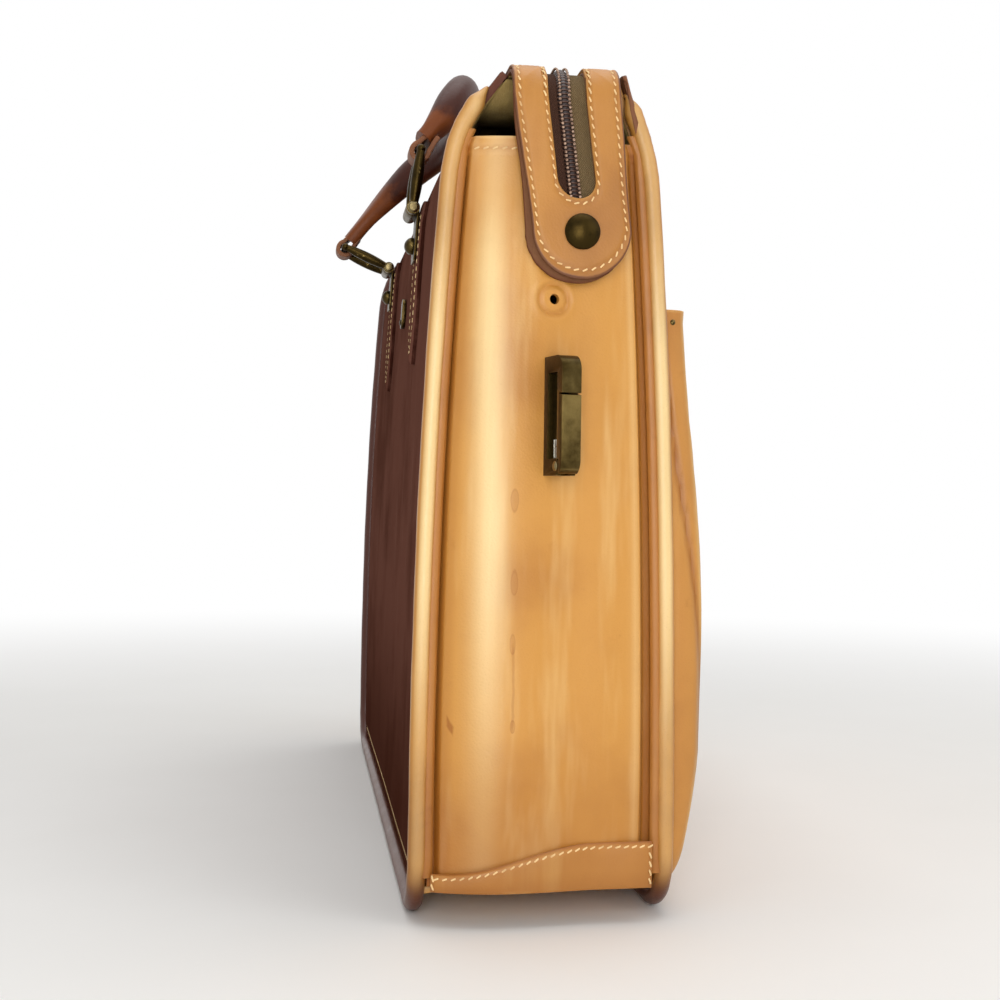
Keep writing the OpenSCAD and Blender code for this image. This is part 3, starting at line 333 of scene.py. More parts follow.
def metal(name, tone, rubbed, tarnish, gloss=0.34):
    p = Paint(name)
    spot = p.place()
    cloud = p.noise(spot, 160.0, 4.0, 0.6)
    pits = p.noise(spot, 1300.0, 3.0, 0.7)
    edges = p.node("ShaderNodeNewGeometry", out=7)
    bright = p.ramp(edges + (cloud - 0.5) * 0.08, 0.52, 0.58)
    colour = p.mix(tone, tarnish, p.ramp(cloud, 0.45, 0.7) * 0.7)
    colour = p.mix(colour, rubbed, bright * 0.7)
    colour = p.mix(colour, tarnish, p.ramp(pits, 0.66, 0.78) * 0.5)
    p.bump(pits + cloud * 0.6, 0.00006)
    return p.set(Base_Color=colour, Metallic=1.0, Roughness=gloss + (cloud - 0.5) * 0.3)


brass = metal("antique brass", shade(55, 43, 19), shade(132, 112, 66), shade(29, 23, 10))
pin_metal = metal("rubbed brass", shade(122, 108, 74), shade(188, 172, 128), shade(70, 60, 38), 0.3)
steel = metal("spring steel", shade(190, 186, 172), shade(226, 222, 210), shade(120, 114, 100), 0.3)


def board_finish():
    p = Paint("fibre board")
    fibres = p.noise(p.place((1, 3, 1)), 380.0, 5.0, 0.7)
    colour = p.mix(shade(150, 128, 94), shade(106, 86, 60), p.ramp(fibres, 0.35, 0.7))
    p.bump(fibres, 0.0002)
    return p.set(Base_Color=colour, Roughness=0.9)


board = board_finish()
print("finishes:", len(bpy.data.materials))

# %% [markdown]
# ## The case's own lines
# Every soft piece follows the same few curves as the solids do: the half thickness over the height,
# the line of a panel up to the zip, and the fold of the gusset. They are written once, in
# millimetres, and each later piece asks them for points.

# %% Lines of the case
CASE_H, SHOULDER_Z, TOP_LEAN = 313.0, 282.0, 3.4
BASE_T, SHOULDER_T, FRONT_BOW, SHOULDER_LEAN = 99.0, 80.0, -2.0, 6.0
PANEL_W, GUSSET_W, STRIP_T, STRIP_W = 3.0, 2.5, 2.7, 39.0
PIPING_R, PIPING_X, CORNER_R = 3.4, 196.6, 22.0
# The solids leave this gap between two pieces that lie on each other
GAP = 0.3
CORNER_Z = PIPING_R - 0.5 + CORNER_R
PANEL_IN = PIPING_R + 1.0
PANEL_END = PIPING_X - PIPING_R - GAP
CORNER_IN = CORNER_R - PIPING_R - GAP
BASE_Z, HEM_SEAM, HALF_SPAN = 10.0, 281.7, 84.0
SHOULDER_RISE = CASE_H - STRIP_T / 2 - SHOULDER_Z
GUSSET_BOTTOM, GUSSET_TOP = BASE_Z + 3.3, 286.0


def smooth(u):
    u = min(1.0, max(0.0, u))
    return u * u * (3 - 2 * u)


def mix(a, b, u):
    return a + (b - a) * u


def bell(d, width):
    """1 where d is 0, fading to nothing in about two widths."""
    return math.exp(-((d / width) ** 2))


def mirrored(p, sign):
    return Vector((sign * p.x, p.y, p.z))


def half_t(z):
    return mix(BASE_T / 2, SHOULDER_T / 2, min(1.0, max(z, 0.0) / SHOULDER_Z) ** 2.5)


def soften(z):
    """The hide turns over the shoulder softly, up to a millimetre inside the solid's corner."""
    return 0.0067 * max(0.0, 12.0 - abs(z - SHOULDER_Z)) ** 2


def panel_line(side, t, soft=1.0):
    if t <= 1:
        return half_t(t * SHOULDER_Z) - PANEL_IN - soft * soften(t * SHOULDER_Z), t * SHOULDER_Z
    s = t - 1
    y0 = SHOULDER_T / 2 - PANEL_IN
    y2 = STRIP_W / 2 + GAP + 0.4 * PANEL_W + side * TOP_LEAN
    y = (1 - s) ** 2 * y0 + 2 * s * (1 - s) * (y0 - SHOULDER_LEAN) + s * s * y2
    z = SHOULDER_Z + s * SHOULDER_RISE
    return y - soft * soften(z), z


def panel_bow(side, x, t):
    if side > 0:
        return 0.0
    rise = max(0.0, 4 * (t / 1.15) * (1 - t / 1.15))
    return FRONT_BOW * max(0.0, 1 - (x / 200.0) ** 2) * rise


def panel_point(side, x, t, off=0.0, soft=1.0):
    y, z = panel_line(side, t, soft)
    a, b = panel_line(side, min(2, t + 0.004), soft), panel_line(side, max(0, t - 0.004), soft)
    n = Vector((a[1] - b[1], b[0] - a[0])).normalized()
    return Vector((x, side * (y + panel_bow(side, x, t) + off * n[0]), z + off * n[1]))


def gusset_line(s, z):
    z = max(z, GUSSET_BOTTOM)
    fold = -0.38
    if s < fold:
        shape = math.sin(math.pi / 2 * max(0.0, (s + 1) / (fold + 1))) ** 0.9
    else:
        shape = (1 - math.cos(math.pi * max(0.0, 1 - s) / (1 - fold))) / 2
    rise = (0.55 + 0.45 * smooth((z - GUSSET_BOTTOM) / 50)) * (1 - 0.6 * smooth((z - GUSSET_TOP + 56) / 56))
    lean_in = 2 * SHOULDER_LEAN * max(0.0, z - SHOULDER_Z) / SHOULDER_RISE
    return PIPING_X + 10.0 * shape * rise, s * (half_t(z) - 2 * PIPING_R - 1.0 - lean_in)


def gusset_point(s, z, off=0.0):
    a, b = gusset_line(max(-1, s - 0.01), z), gusset_line(min(1, s + 0.01), z)
    n = Vector((b[1] - a[1], a[0] - b[0])).normalized()
    p = gusset_line(s, z)
    return Vector((p[0] + off * n[0], p[1] + off * n[1], z))


print("panel at the shoulder:", panel_point(-1, 0, 1), "gusset ridge:", gusset_point(-0.38, 150))

# %% [markdown]
# ## Sheets from a grid
# A sheet of leather starts as Blender's grid primitive. Its columns and rows are then laid on the
# case's lines, closer together where the form turns. Solidify gives the hide its thickness inwards
# and a small bevel rounds the cut rim, so light runs along it.

# %% Grid pieces
SLOTS = {
    honey: "tan_leather", gusset_hide: "tan_leather", tab_hide: "tan_leather", ply_hide: "tan_leather",
    russet_and_shade: "front_leather", rolled: "piping_leather", welt_hide: "piping_leather", grip_hide: "grip_leather",
    strap_hide: "grip_leather", suede: "suede", tape: "zip_tape", coil: "zip_coil", core: "zip_coil",
    brass: "antique_brass", pin_metal: "antique_brass", steel: "spring_steel", board: "board",
}


def settle(piece, material, body, stands_for=()):
    """The common end of each piece: its finish, smooth shading and the body that it rides on."""
    piece.data.materials.clear()
    piece.data.materials.append(material)
    material in SLOTS
    fresh()
    bpy.context.view_layer.objects.active = piece
    piece.select_set(True)
    bpy.ops.object.shade_smooth_by_angle(angle=math.radians(48))
    piece.select_set(False)
    if body:
        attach(piece, body)
    if stands_for:
        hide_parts(*stands_for)
    return piece


def edit(*steps):
    """Runs mesh operators, each a name with its settings, on the whole active piece."""
    bpy.ops.object.mode_set(mode="EDIT")
    bpy.ops.mesh.select_all(action="SELECT")
    for step, settings in steps:
        getattr(bpy.ops.mesh, step)(**settings)
    bpy.ops.object.mode_set(mode="OBJECT")


OUTWARD = ("normals_make_consistent", {"inside": False})


def apply_all(piece):
    bpy.context.view_layer.objects.active = piece
    for m in list(piece.modifiers):
        bpy.ops.object.modifier_apply(modifier=m.name)


def write_mark(piece, name, values):
    mark = piece.data.attributes.new(name, "FLOAT", "POINT")
    mark.data.foreach_set("value", np.asarray(values, np.float32))


def grid_mesh(name, us, ws, place, outward, marks, closed=False):
    """A grid primitive whose vertex (i, j) goes to place(us[i], ws[j]); outward is a direction at its middle."""
    fresh()
    bpy.ops.mesh.primitive_grid_add(x_subdivisions=len(us) - 1, y_subdivisions=len(ws) - 1, size=2)
    piece = bpy.context.object
    piece.name = piece.data.name = name
    at = []
    for v in piece.data.vertices:
        i = round((v.co.x + 1) / 2 * (len(us) - 1))
        j = round((v.co.y + 1) / 2 * (len(ws) - 1))
        at.append((us[i], ws[j]))
        v.co = place(us[i], ws[j]) * MM
    for key, rule in (marks or {}).items():
        write_mark(piece, key, [rule(*a) for a in at])
    if closed:
        edit(("remove_doubles", {"threshold": 0.00001}), OUTWARD)
    else:
        goal = place(us[len(us) // 2], ws[len(ws) // 2]) * MM
        middle = min(piece.data.polygons, key=lambda f: (f.center - goal).length)
        if middle.normal.dot(Vector(outward)) < 0:
            edit(("flip_normals", {}))
    return piece


def thicken(piece, thickness, rim):
    solid = piece.modifiers.new("thickness", "SOLIDIFY")
    solid.thickness, solid.offset = thickness * MM, -1
    edge = piece.modifiers.new("rim", "BEVEL")
    edge.width, edge.segments, edge.limit_method, edge.angle_limit = rim * MM, 2, "ANGLE", math.radians(50)
    apply_all(piece)
    return piece


def sheet(name, us, ws, place, outward, marks, hide, finish, body="case", stands_for=()):
    """A grid piece in one call; hide is the (thickness, rounding of the rim)."""
    return settle(thicken(grid_mesh(name, us, ws, place, outward, marks), *hide), finish, body, stands_for)


def both(right, more=()):
    """Positions given for the right half, also for the left half, with some more."""
    return sorted(set([-u for u in right] + list(right) + list(more)))


def corner_rows(inside):
    """Heights round a lower corner, from its bottom up to the straight edge."""
    return [CORNER_Z - inside * math.cos(math.radians(a)) for a in range(0, 91, 9)]


def spread(lo, hi, step, dense=()):
    """Positions from lo to hi about step apart, with the extra ones in dense."""
    count = max(1, round((hi - lo) / step))
    even = [round(lo + (hi - lo) * i / count, 4) for i in range(count + 1)]
    return sorted(set(even + [d for d in dense if lo < d < hi]))


# %% [markdown]
# ## Front and back panels
# Each panel is one hide from the bottom piping up over the shoulder to the zip strip, with rounded
# bottom corners. It dips a little along the line where it is sewn to the piping, 5 mm in from the
# edge, so columns and rows are laid close together there.

# %% Panels
# How far inside a panel's outline its face dips most, and where the stitches run
DIP_IN, SEAM_IN = 5.0, 5.2


def end_x(z):
    if z >= CORNER_Z:
        return PANEL_END
    return PIPING_X - CORNER_R + math.sqrt(max(0.0, CORNER_IN**2 - (CORNER_Z - z) ** 2))


def inset(x, z):
    """How far a point of a panel lies inside the panel's outline."""
    cx = PIPING_X - CORNER_R
    if z < CORNER_Z and abs(x) > cx:
        return CORNER_IN - math.hypot(abs(x) - cx, z - CORNER_Z)
    return min(PANEL_END - abs(x), z - (CORNER_Z - CORNER_IN))


close_up = [1 - d / PANEL_END for d in (0, 1.5, 3, 4, 5, 6, 7, 9, 12)]
panel_us = both(close_up, spread(-0.93, 0.93, 0.042))
corner_ts = [z / SHOULDER_Z for z in corner_rows(CORNER_IN)]
face_ts = spread(0.1, 1.0, 0.03, [0.96, 0.97, 0.98, 0.99])
panel_ts = sorted(set(corner_ts + face_ts + spread(1.0, 2.0, 0.05, [1.1, 1.2, 1.3])))


def panel_skin(side, x, t, h=0.0):
    """A point h above a panel's outer face, which dips where it is sewn to the piping."""
    z = t * SHOULDER_Z
    d = inset(x, z)
    dip = 0.7 * bell(d - DIP_IN, 1.6) + 0.8 * smooth(1 - d / 4)
    ripple = 0.25 * math.sin(x * 0.031 + 1.3 * side) * math.sin(z * 0.027)
    return panel_point(side, x, t, PANEL_W / 2 - dip + ripple + h)


def make_panel(word, side, material):
    def place(u, t):
        return panel_skin(side, u * (end_x(t * SHOULDER_Z) if t < 0.2 else PANEL_END), t)

    def seam(u, t):
        z = t * SHOULDER_Z
        return bell(inset(u * end_x(z), z) - DIP_IN, 1.5) * 0.7

    # Painted shade: the front panel is darker toward its bottom.
    def patina_and_shade(u, t):
        return 0.9 * smooth((0.42 - t) / 0.36) if side < 0 else 0.0

    marks, hide = {"seam": seam, "patina_and_shade": patina_and_shade}, (PANEL_W - 0.4, 0.4)
    sheet(word + "_skin", panel_us, panel_ts, place, (0, side, 0), marks, hide, material, "case", [word + "_panel"])


make_panel("front", -1, russet_and_shade)
make_panel("back", 1, honey)
print("panel columns and rows:", len(panel_us), len(panel_ts))

# %% [markdown]
# ## Gussets
# A gusset is the narrow end wall. It keeps the upright fold that it was pressed into, left of its
# middle, and its top edge is turned over and sewn. The near one shows a ring pressed by a lost snap
# stud, with the stud's hole in it; the hole is cut with a boolean.

# %% Gussets
SNAP_Z, RING_R = 227.0, 5.3


def gusset_skin(s, z, h=0.0):
    """A point h above the gusset's outer face, with its fold, ring, hem and tucked sides."""
    flat = gusset_point(s, z, GUSSET_W / 2)
    r = math.hypot(flat.y, z - SNAP_Z)
    ring = 0.4 * bell(r - 7.4, 1.1) - 0.8 * bell(r - RING_R, 0.9)
    hem = 0.8 * smooth((z - 279.5) / 2) - 0.5 * hem_line(z)
    buckle = 0.35 * math.sin(z * 0.045 + s * 2) * (1 - abs(s)) * smooth((250 - z) / 60)
    p = gusset_point(s, z, GUSSET_W / 2 + ring + hem + buckle + h)
    # The right side stays full up to a rounded edge and then drops into the recess beside the piping
    full = 2.8 * smooth((s - 0.1) / 0.5) * (1 - smooth((s - 0.84) / 0.07)) * (0.4 + 0.6 * smooth((z - 20) / 40))
    recess = 3.4 * smooth((s - 0.84) / 0.07) + (flat.x - PIPING_X + 1.0) * smooth((-0.9 - s) / 0.045)
    p.x += full * (1 - 0.6 * smooth((z - 240) / 40)) - recess * (0.35 + 0.65 * smooth((285 - z) / 12))
    return p


fine_s = [v / 36.0 for v in range(-9, 10)]
left_s = [-0.99, -0.965, -0.945, -0.93, -0.92, -0.91, -0.9, -0.885]
right_s = [0.8, 0.83, 0.845, 0.86, 0.875, 0.89, 0.905, 0.92, 0.95]
gusset_s = sorted(set(spread(-1.0, 1.0, 0.05, fine_s + left_s + right_s)))
hem_z = [279, 280, 280.8, 281.6, 282.4, 283.2, 284, 285]
ring_z = [SNAP_Z + d for d in range(-10, 11)]
gusset_z = sorted(set(spread(GUSSET_BOTTOM, GUSSET_TOP, 7.0, ring_z + hem_z)))


def hem_line(z):
    return bell(z - HEM_SEAM, 0.8)


def gusset_seams_and_shade(s, z):
    """Dark along the left side, under the hem and in the ring that the lost stud has pressed, and painted shade in the
    recess along the right side.
    """
    ring = bell(math.hypot(gusset_point(s, z).y, z - SNAP_Z) - RING_R, 0.9)
    return smooth((-0.9 - s) / 0.04) + smooth((s - 0.86) / 0.06) + 0.4 * hem_line(z) + 0.35 * ring


def gusset_painted_highlight(s, z):
    """A painted highlight along the pressed fold, strongest at half height, and a weaker one on the right edge."""
    fold = bell(s + 0.55 + 0.1 * smooth((z - 120) / 150), 0.14) * (0.3 + 0.7 * smooth((z - 40) / 110))
    return fold * (1 - 0.6 * smooth((z - 235) / 35)) + 0.3 * bell(s - 0.8, 0.035)


def gusset_patina_and_shade(s, z):
    # Painted shade darkens the top right. The left edge and the bottom are also darker.
    top = 0.3 * smooth((z - 235) / 40) * smooth((s + 0.4) / 0.3)
    return top + 0.4 * smooth((-0.8 - s) / 0.08) + 0.5 * smooth((80 - z) / 70)


def make_gusset(end, sign):
    marks = {"seam": gusset_seams_and_shade, "light": gusset_painted_highlight, "patina_and_shade": gusset_patina_and_shade}
    marks["rim"] = lambda s, z: 0.9 * smooth((z - 283.5) / 2.5)
    place = lambda s, z: mirrored(gusset_skin(s, z), sign)
    piece = grid_mesh(end + "_end_wall", gusset_s, gusset_z, place, (sign, 0, 0), marks)
    thicken(piece, GUSSET_W - 0.3, 0.6)
    spot = gusset_point(0, SNAP_Z)
    way = mirrored(gusset_point(0, SNAP_Z, 4) - spot, sign).normalized()
    bpy.ops.mesh.primitive_cylinder_add(
        vertices=24, radius=1.85 * MM, depth=12 * MM, location=mirrored(spot, sign) * MM,
        rotation=way.to_track_quat("Z", "Y").to_euler(),
    )
    drill = bpy.context.object
    cut = piece.modifiers.new("snap hole", "BOOLEAN")
    cut.operation, cut.object, cut.solver = "DIFFERENCE", drill, "EXACT"
    apply_all(piece)
    bpy.data.objects.remove(drill)
    settle(piece, gusset_hide, "case", [end + "_gusset"])


for sign, end in ENDS:
    make_gusset(end, sign)
print("gusset columns and rows:", len(gusset_s), len(gusset_z))

# %% [markdown]
# ## Piping
# The panels and gussets meet in a rolled strip of leather. A curve with a round bevel follows its
# line; a small change of radius from point to point keeps it from looking like a tube. Its ends taper
# away at the top, where they are skived thin. A flat welt lies between each piping and gusset.

# %% Piping


def tube(name, points, radius, swell):
    """A curve through points, in millimetres, made round and turned to a mesh."""
    fresh()
    bpy.ops.curve.primitive_nurbs_path_add()
    piece = bpy.context.object
    piece.name = piece.data.name = name
    line = piece.data
    line.splines.clear()
    run = line.splines.new("POLY")
    run.points.add(len(points) - 1)
    for i, p in enumerate(points):
        run.points[i].co = (*(Vector(p) * MM), 1)
        run.points[i].radius = swell(i, len(points))
    line.dimensions, line.bevel_depth, line.bevel_resolution = "3D", radius * MM, 10
    line.use_fill_caps = True
    line.twist_mode = "MINIMUM"
    bpy.ops.object.convert(target="MESH")
    return bpy.context.object


def piping_path(side):
    def upper(x, t):
        p = panel_point(side, x, t, PANEL_IN - PIPING_R)
        p.y -= side * panel_bow(side, x, t)
        return p

    half = [upper(PIPING_X, t) for t in np.linspace(1.76, 0.12, 78)]
    half = [p for p in half if p.z > CORNER_Z + 1]
    half[0].x -= 2.5
    half[1].x -= 0.9
    for a in np.linspace(90, 0, 16):
        x = PIPING_X - CORNER_R + CORNER_R * math.sin(math.radians(a))
        z = CORNER_Z - CORNER_R * math.cos(math.radians(a))
        half.append(Vector((x, side * (half_t(z) - PIPING_R), z)))
    straight = [Vector((x, side * (half_t(0) - PIPING_R), PIPING_R - 0.5)) for x in np.linspace(168, -168, 85)]
    return half + straight + [mirrored(p, -1) for p in reversed(half)]


def ridge(facing, z):
    """A painted highlight where the piping faces out of the end, strongest at half height."""
    height = (0.25 + 0.75 * smooth((z - 0.05) / 0.08)) * (1 - 0.65 * smooth((z - 0.2) / 0.06))
    return 0.95 * smooth((facing - 0.55) / 0.42) * height


def make_piping(word, side):
    def swell(i, n):
        uneven = 1 + 0.025 * math.sin(i * 0.9) * math.sin(i * 0.37 + side)
        return uneven * (0.22 + 0.78 * smooth(min(i, n - 1 - i) / 11))

    piece = tube(word + "_roll", piping_path(side), PIPING_R, swell)
    skin = piece.data.vertices
    # A painted highlight on the side facing out of the end. The feet are darker.
    write_mark(piece, "light", [ridge(abs(v.normal.x), v.co.z) for v in skin])
    write_mark(piece, "patina_and_shade", [smooth((0.024 - v.co.z) / 0.018) * 1.2 for v in skin])
    dark_foot = [0.8 * smooth((0.017 - v.co.z) / 0.012) for v in skin]
    # Painted shade on the far end of the front piping.
    painted_end_shade = [smooth((-0.14 - v.co.x) / 0.03) if side < 0 else 0.0 for v in skin]
    write_mark(piece, "painted_shade_and_feet", [max(pair) for pair in zip(dark_foot, painted_end_shade)])
    settle(piece, rolled, "case", [word + "_piping"])


def make_welt(name, sign, side):
    """The flat strip that is sewn in between a piping and a gusset."""

    def place(f, z):
        inner = half_t(z) - 2 * PIPING_R - 2 * SHOULDER_LEAN * max(0.0, z - SHOULDER_Z) / SHOULDER_RISE
        y = mix(inner + PIPING_R * 0.6, inner - 2.5, f)
        x = PIPING_X + 1.5 + 0.5 * math.sin(math.pi * min(1.0, f * 1.1)) - 0.9 * smooth((f - 0.85) / 0.15)
        return Vector((sign * x, side * y, z))

    marks = {"rim": lambda f, z: 0.7 * smooth((f - 0.8) / 0.15), "seam": lambda f, z: smooth(1 - f / 0.42)}
    levels = sorted(set(spread(CORNER_Z - 8, SHOULDER_Z, 9) + [284, 286.5, 289]))
    columns = [0, 0.3, 0.42, 0.55, 0.7, 0.82, 0.92, 1]
    sheet(name, columns, levels, place, (sign, 0, 0), marks, (1.2, 0.3), welt_hide)


for side, word in SIDES:
    make_piping(word, side)
for sign, end in ENDS:
    for side, word in SIDES:
        make_welt(f"{end}_{word}_welt", sign, side)
print("piping points:", len(piping_path(1)))

# %% [markdown]
# ## End flaps and base
# A curved flap closes each lower corner. It lies over the gusset, its upper edge sweeps down from
# the back to the front, and it is sewn along that edge and both sides. The base panel hangs between
# the two pipings. At the top, the back panel's worn corners are folded down beside the strip.

# %% End flaps and base
FLAP_S, FLAP_Z = 0.965, BASE_Z + 2.5


def flap_top(s):
    return mix(19.0, 29.5, smooth((s + 0.9) / 1.3))


def flap_point(s, w, off):
    z = mix(FLAP_Z, flap_top(s), w)
    belly = 0.5 * math.sin(math.pi * min(1.0, max(0.0, w))) + 0.3 * math.sin(s * 9) * w
    p = gusset_point(s, z, GUSSET_W / 2 + GAP + 2.2 + belly + off)
    p.x += 1.4 * smooth((s - 0.3) / 0.5)
    return p


def make_flap(end, sign):
    def place(s, w):
        rim = min(1 - w, (FLAP_S - abs(s)) / 0.3) if w < 1 else 0.0
        return mirrored(flap_point(s, w, -0.8 * smooth(1 - rim * 9)), sign)

    marks = {
        "rim": lambda s, w: 0.5 * smooth(1 - w * 4),
        "seam": lambda s, w: smooth(1 - (1 - w) * 14) + 0.5 * smooth((abs(s) - 0.92) / 0.04),
        "patina_and_shade": lambda s, w: 0.35 + 0.3 * smooth(1 - w * 2),
    }
    columns, rows = spread(-FLAP_S, FLAP_S, 0.05, [-0.95, 0.95]), spread(0, 1, 0.09, [0.93, 0.96, 0.98])
    node = [end + "_end_flap"]
    sheet(end + "_corner_flap", columns, rows, place, (sign, 0, 0), marks, (2.2, 0.5), honey, "case", node)


CORNER_ROLL = [(184, 0), (190, 0), (194, -0.2), (197, -0.8), (199.2, -2.2), (200.2, -4.6), (199.8, -8.5)]


def make_corner(name, sign):
    """The worn corner of the back panel, folded down over its own end beside the strip."""

    def place(i, t):
        x, drop = CORNER_ROLL[i]
        p = panel_point(1, sign * x, t, PANEL_W / 2 + 1.3)
        p.z += drop * (1 - 0.5 * smooth((t - 1.75) / 0.25))
        p.y += 0.35 * drop * (2.0 - t)
        return p

    rows, marks = spread(1.5, 1.985, 0.05), {"rim": lambda i, t: smooth((i - 4) / 2)}
    sheet(name, range(7), rows, place, (0, 0, 1), marks, (1.5, 0.35), strap_hide)


def base_place(u, v):
    x = u * 191.0
    y = v * (half_t(0) - PIPING_R - 1.2)
    sag = 0.5 * math.cos(x * 0.03) * (1 - v * v)
    return Vector((x, y, BASE_Z - sag - 1.2 * (abs(v) ** 12)))


def base_worn(u, v):
    """The base is rubbed at its rim, and all over toward the far end and the front."""
    return max(0.0, 1 - min(u, 1 - u, v, 1 - v) / 0.03)


for sign, end in ENDS:
    make_flap(end, sign)
for sign, end in ENDS:
    make_corner(end + "_folded_corner", sign)
columns, rows = spread(-1, 1, 0.05), spread(-1, 1, 0.1, [-0.95, 0.95])
marks = {"rim": base_worn}
sheet("underside", columns, rows, base_place, (0, 0, -1), marks, (2.8, 0.5), honey, "case", ["base_panel"])

# %% [markdown]
# ## Zip strip
# The top is two bands of leather with the zip between them. At each end they run over the edge, hang
# down as a tab and join below the zip in a round tip. Seen flat, that is one long U, so the sheet has
# its columns along the U and its rows from the window's edge to the outer edge. It is bent over the
# end afterwards by one function of the distance along the strip.

# %% Zip strip and tabs
FOLD_X, FOLD_R, FOLD_Z = 196.0, 11.3, 299.0
WINDOW_H, TAB_L, TAB_WINDOW, TAB_SKEW = 7.0, 65.0, 36.0, 6.0
FOLD_MID, TAB_NARROW = 13.0, 1.5
TAB_R = STRIP_W / 2 - TAB_NARROW
TAB_START = FOLD_X + math.pi / 2 * FOLD_MID


def strip_point(sign, s, v, h):
    """A point s along the strip from its middle, v to the side of the zip and h above its underside."""
    if s <= FOLD_X:
        return Vector((sign * s, TOP_LEAN + v, FOLD_Z + FOLD_R + h))
    if s < TAB_START:
        a = (s - FOLD_X) / FOLD_MID
        r = FOLD_R + h
        return Vector((sign * (FOLD_X + r * math.sin(a)), TOP_LEAN + v, FOLD_Z + r * math.cos(a)))
    d = s - TAB_START
    skew = TAB_SKEW * min(1.0, d / (TAB_L - TAB_R))
    return Vector((sign * (FOLD_X + FOLD_R + h), TOP_LEAN + v + skew, FOLD_Z - d))


TURN_OUT = TAB_START + TAB_L - TAB_R
TURN_IN = TAB_START + TAB_WINDOW - WINDOW_H


def u_point(k, w):
    """A flat point (s, v) of the U; k runs -1 to 1 along it and w from the window's edge out."""
    side = 1 if k > 0 else -1
    m = abs(k)
    if m > 0.25:
        f = (1 - m) / 0.75
        inner = (f * TURN_IN, WINDOW_H)
        outer = (f * TURN_OUT, STRIP_W / 2 - TAB_NARROW * smooth((f * TURN_OUT - TAB_START) / 46))
    else:
        a = m / 0.25 * math.pi / 2
        inner = (TURN_IN + WINDOW_H * math.cos(a), WINDOW_H * math.sin(a))
        outer = (TURN_OUT + TAB_R * math.cos(a), TAB_R * math.sin(a))
    return mix(inner[0], outer[0], w), side * mix(inner[1], outer[1], w)


long_k = [1 - f * 0.75 for f in spread(0, 1, 0.03, [v / 286.0 for v in range(188, 236, 3)])]
turn_k = [0.25 * i / 16 for i in range(16)]
strip_ks = both(long_k + turn_k)
inner_ws = [0, 0.03, 0.062, 0.1, 0.144, 0.19, 0.26, 0.35, 0.5, 0.62]
strip_ws = inner_ws + [0.69, 0.744, 0.79, 0.83, 0.86, 0.89, 0.92, 0.95, 0.975, 1]
OUTER_SEAM, INNER_SEAM = 3.2, 1.9


def band_width(k):
    (a, b), (c, d) = u_point(k, 0), u_point(k, 1)
    return math.hypot(c - a, d - b)


def on_seam(k, w):
    """1 on either row of stitches, which keep their distance from the outer edge and the window."""
    wide = band_width(k)
    return bell((1 - w) * wide - OUTER_SEAM, 0.9) + bell(w * wide - INNER_SEAM, 0.9)


def strip_hump(k, w):
    """The leather is held down by its two rows of stitches and swells between them."""
    wide = band_width(k)
    return 0.15 - 0.45 * on_seam(k, w) - 0.5 * smooth(1 - w * wide / 0.7) - 0.4 * smooth(1 - (1 - w) * wide / 0.7)


def strip_skin(sign, k, w, h=0.0):
    """A point h above the upper ply of the strip."""
    s, v = u_point(k, w)
    wave = 0.35 * math.sin(s * 0.09 + 2 * v / 20) * smooth((s - TAB_START) / 20)
    return strip_point(sign, s, v, STRIP_T + strip_hump(k, w) + wave + h)


def make_strip(name, sign):
    marks = {
        "rim": lambda k, w: smooth(1.3 - (1 - w) * band_width(k) / 1.4),
        "light": lambda k, w: 0.6 * smooth(1 - w * band_width(k) / 0.8),
        "seam": lambda k, w: 0.4 * on_seam(k, w),
        "patina_and_shade": lambda k, w: 0.5 * smooth(1 - (1 - w) * band_width(k) / 3.0) + 0.25 * smooth(1 - abs(k) / 0.3),
    }
    place = lambda k, w: strip_skin(sign, k, w)
    return sheet(name, strip_ks, strip_ws, place, (sign, 0, 0), marks, (1.5, 0.35), tab_hide, None)


def bend_over(piece, sign, body, *nodes):
    """Bakes a piece's placing into its mesh and hides the solids that it stands for."""
    start, stop = (sign * 0.196, 0.0034, 0.3115), (sign * 0.2087, 0.0034, 0.299)
    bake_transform(piece)
    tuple(start)
    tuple(stop)
    if nodes:
        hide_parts(*nodes)


def back_ply(name, sign):
    """The second ply, which has crept down and to the left below the first."""

    def place(k, w):
        s, v = u_point(k, w)
        hang = smooth((s - TAB_START) / 12) * smooth(w / 0.5)
        low = smooth((s - TAB_START - 20) / 30) * smooth((w - 0.5) / 0.5)
        v = v * (1 + 0.02 * hang) - 1.5 * low - 0.6 * hang * smooth(-v / 8) + 0.12 * math.sin(s * 1.3) * low
        return strip_point(sign, s + 1.4 * low, v, 1.25 - 0.25 * low)

    rows, marks = [0, 0.2, 0.5, 0.8, 0.93, 1], {"rim": lambda k, w: smooth((w - 0.92) / 0.08)}
    return sheet(name, strip_ks, rows, place, (sign, 0, 0), marks, (1.2, 0.3), ply_hide, None)


# %% [markdown]
# ## Zip tape and coil
# Under the window lies the woven tape. Along its middle run the two halves of the nylon coil, held by
# a row of thread on each side that looks like a string of beads. One bead is modelled and copied
# along both rows.

# %% Tape and coil


def ribbon(name, sign, half, height, thickness, last, material, columns=5, dome=0.0, shift=0.0):
    def place(s, v):
        return strip_point(sign, s, v * half + shift, height + dome * (1 - v * v))

    stations = spread(0, last, 8.0, [FOLD_X + i * 1.6 for i in range(14)])
    # The left half of a ribbon is marked for the tape's painted shade.
    marks = {"dark": lambda s, v: smooth(-v / 0.15), "run": lambda s, v: s, "across": lambda s, v: v * half}
    rows = spread(-1, 1, 2 / columns)
    return sheet(name, stations, rows, place, (0, 0, 1), marks, (thickness, 0.1), material, None)


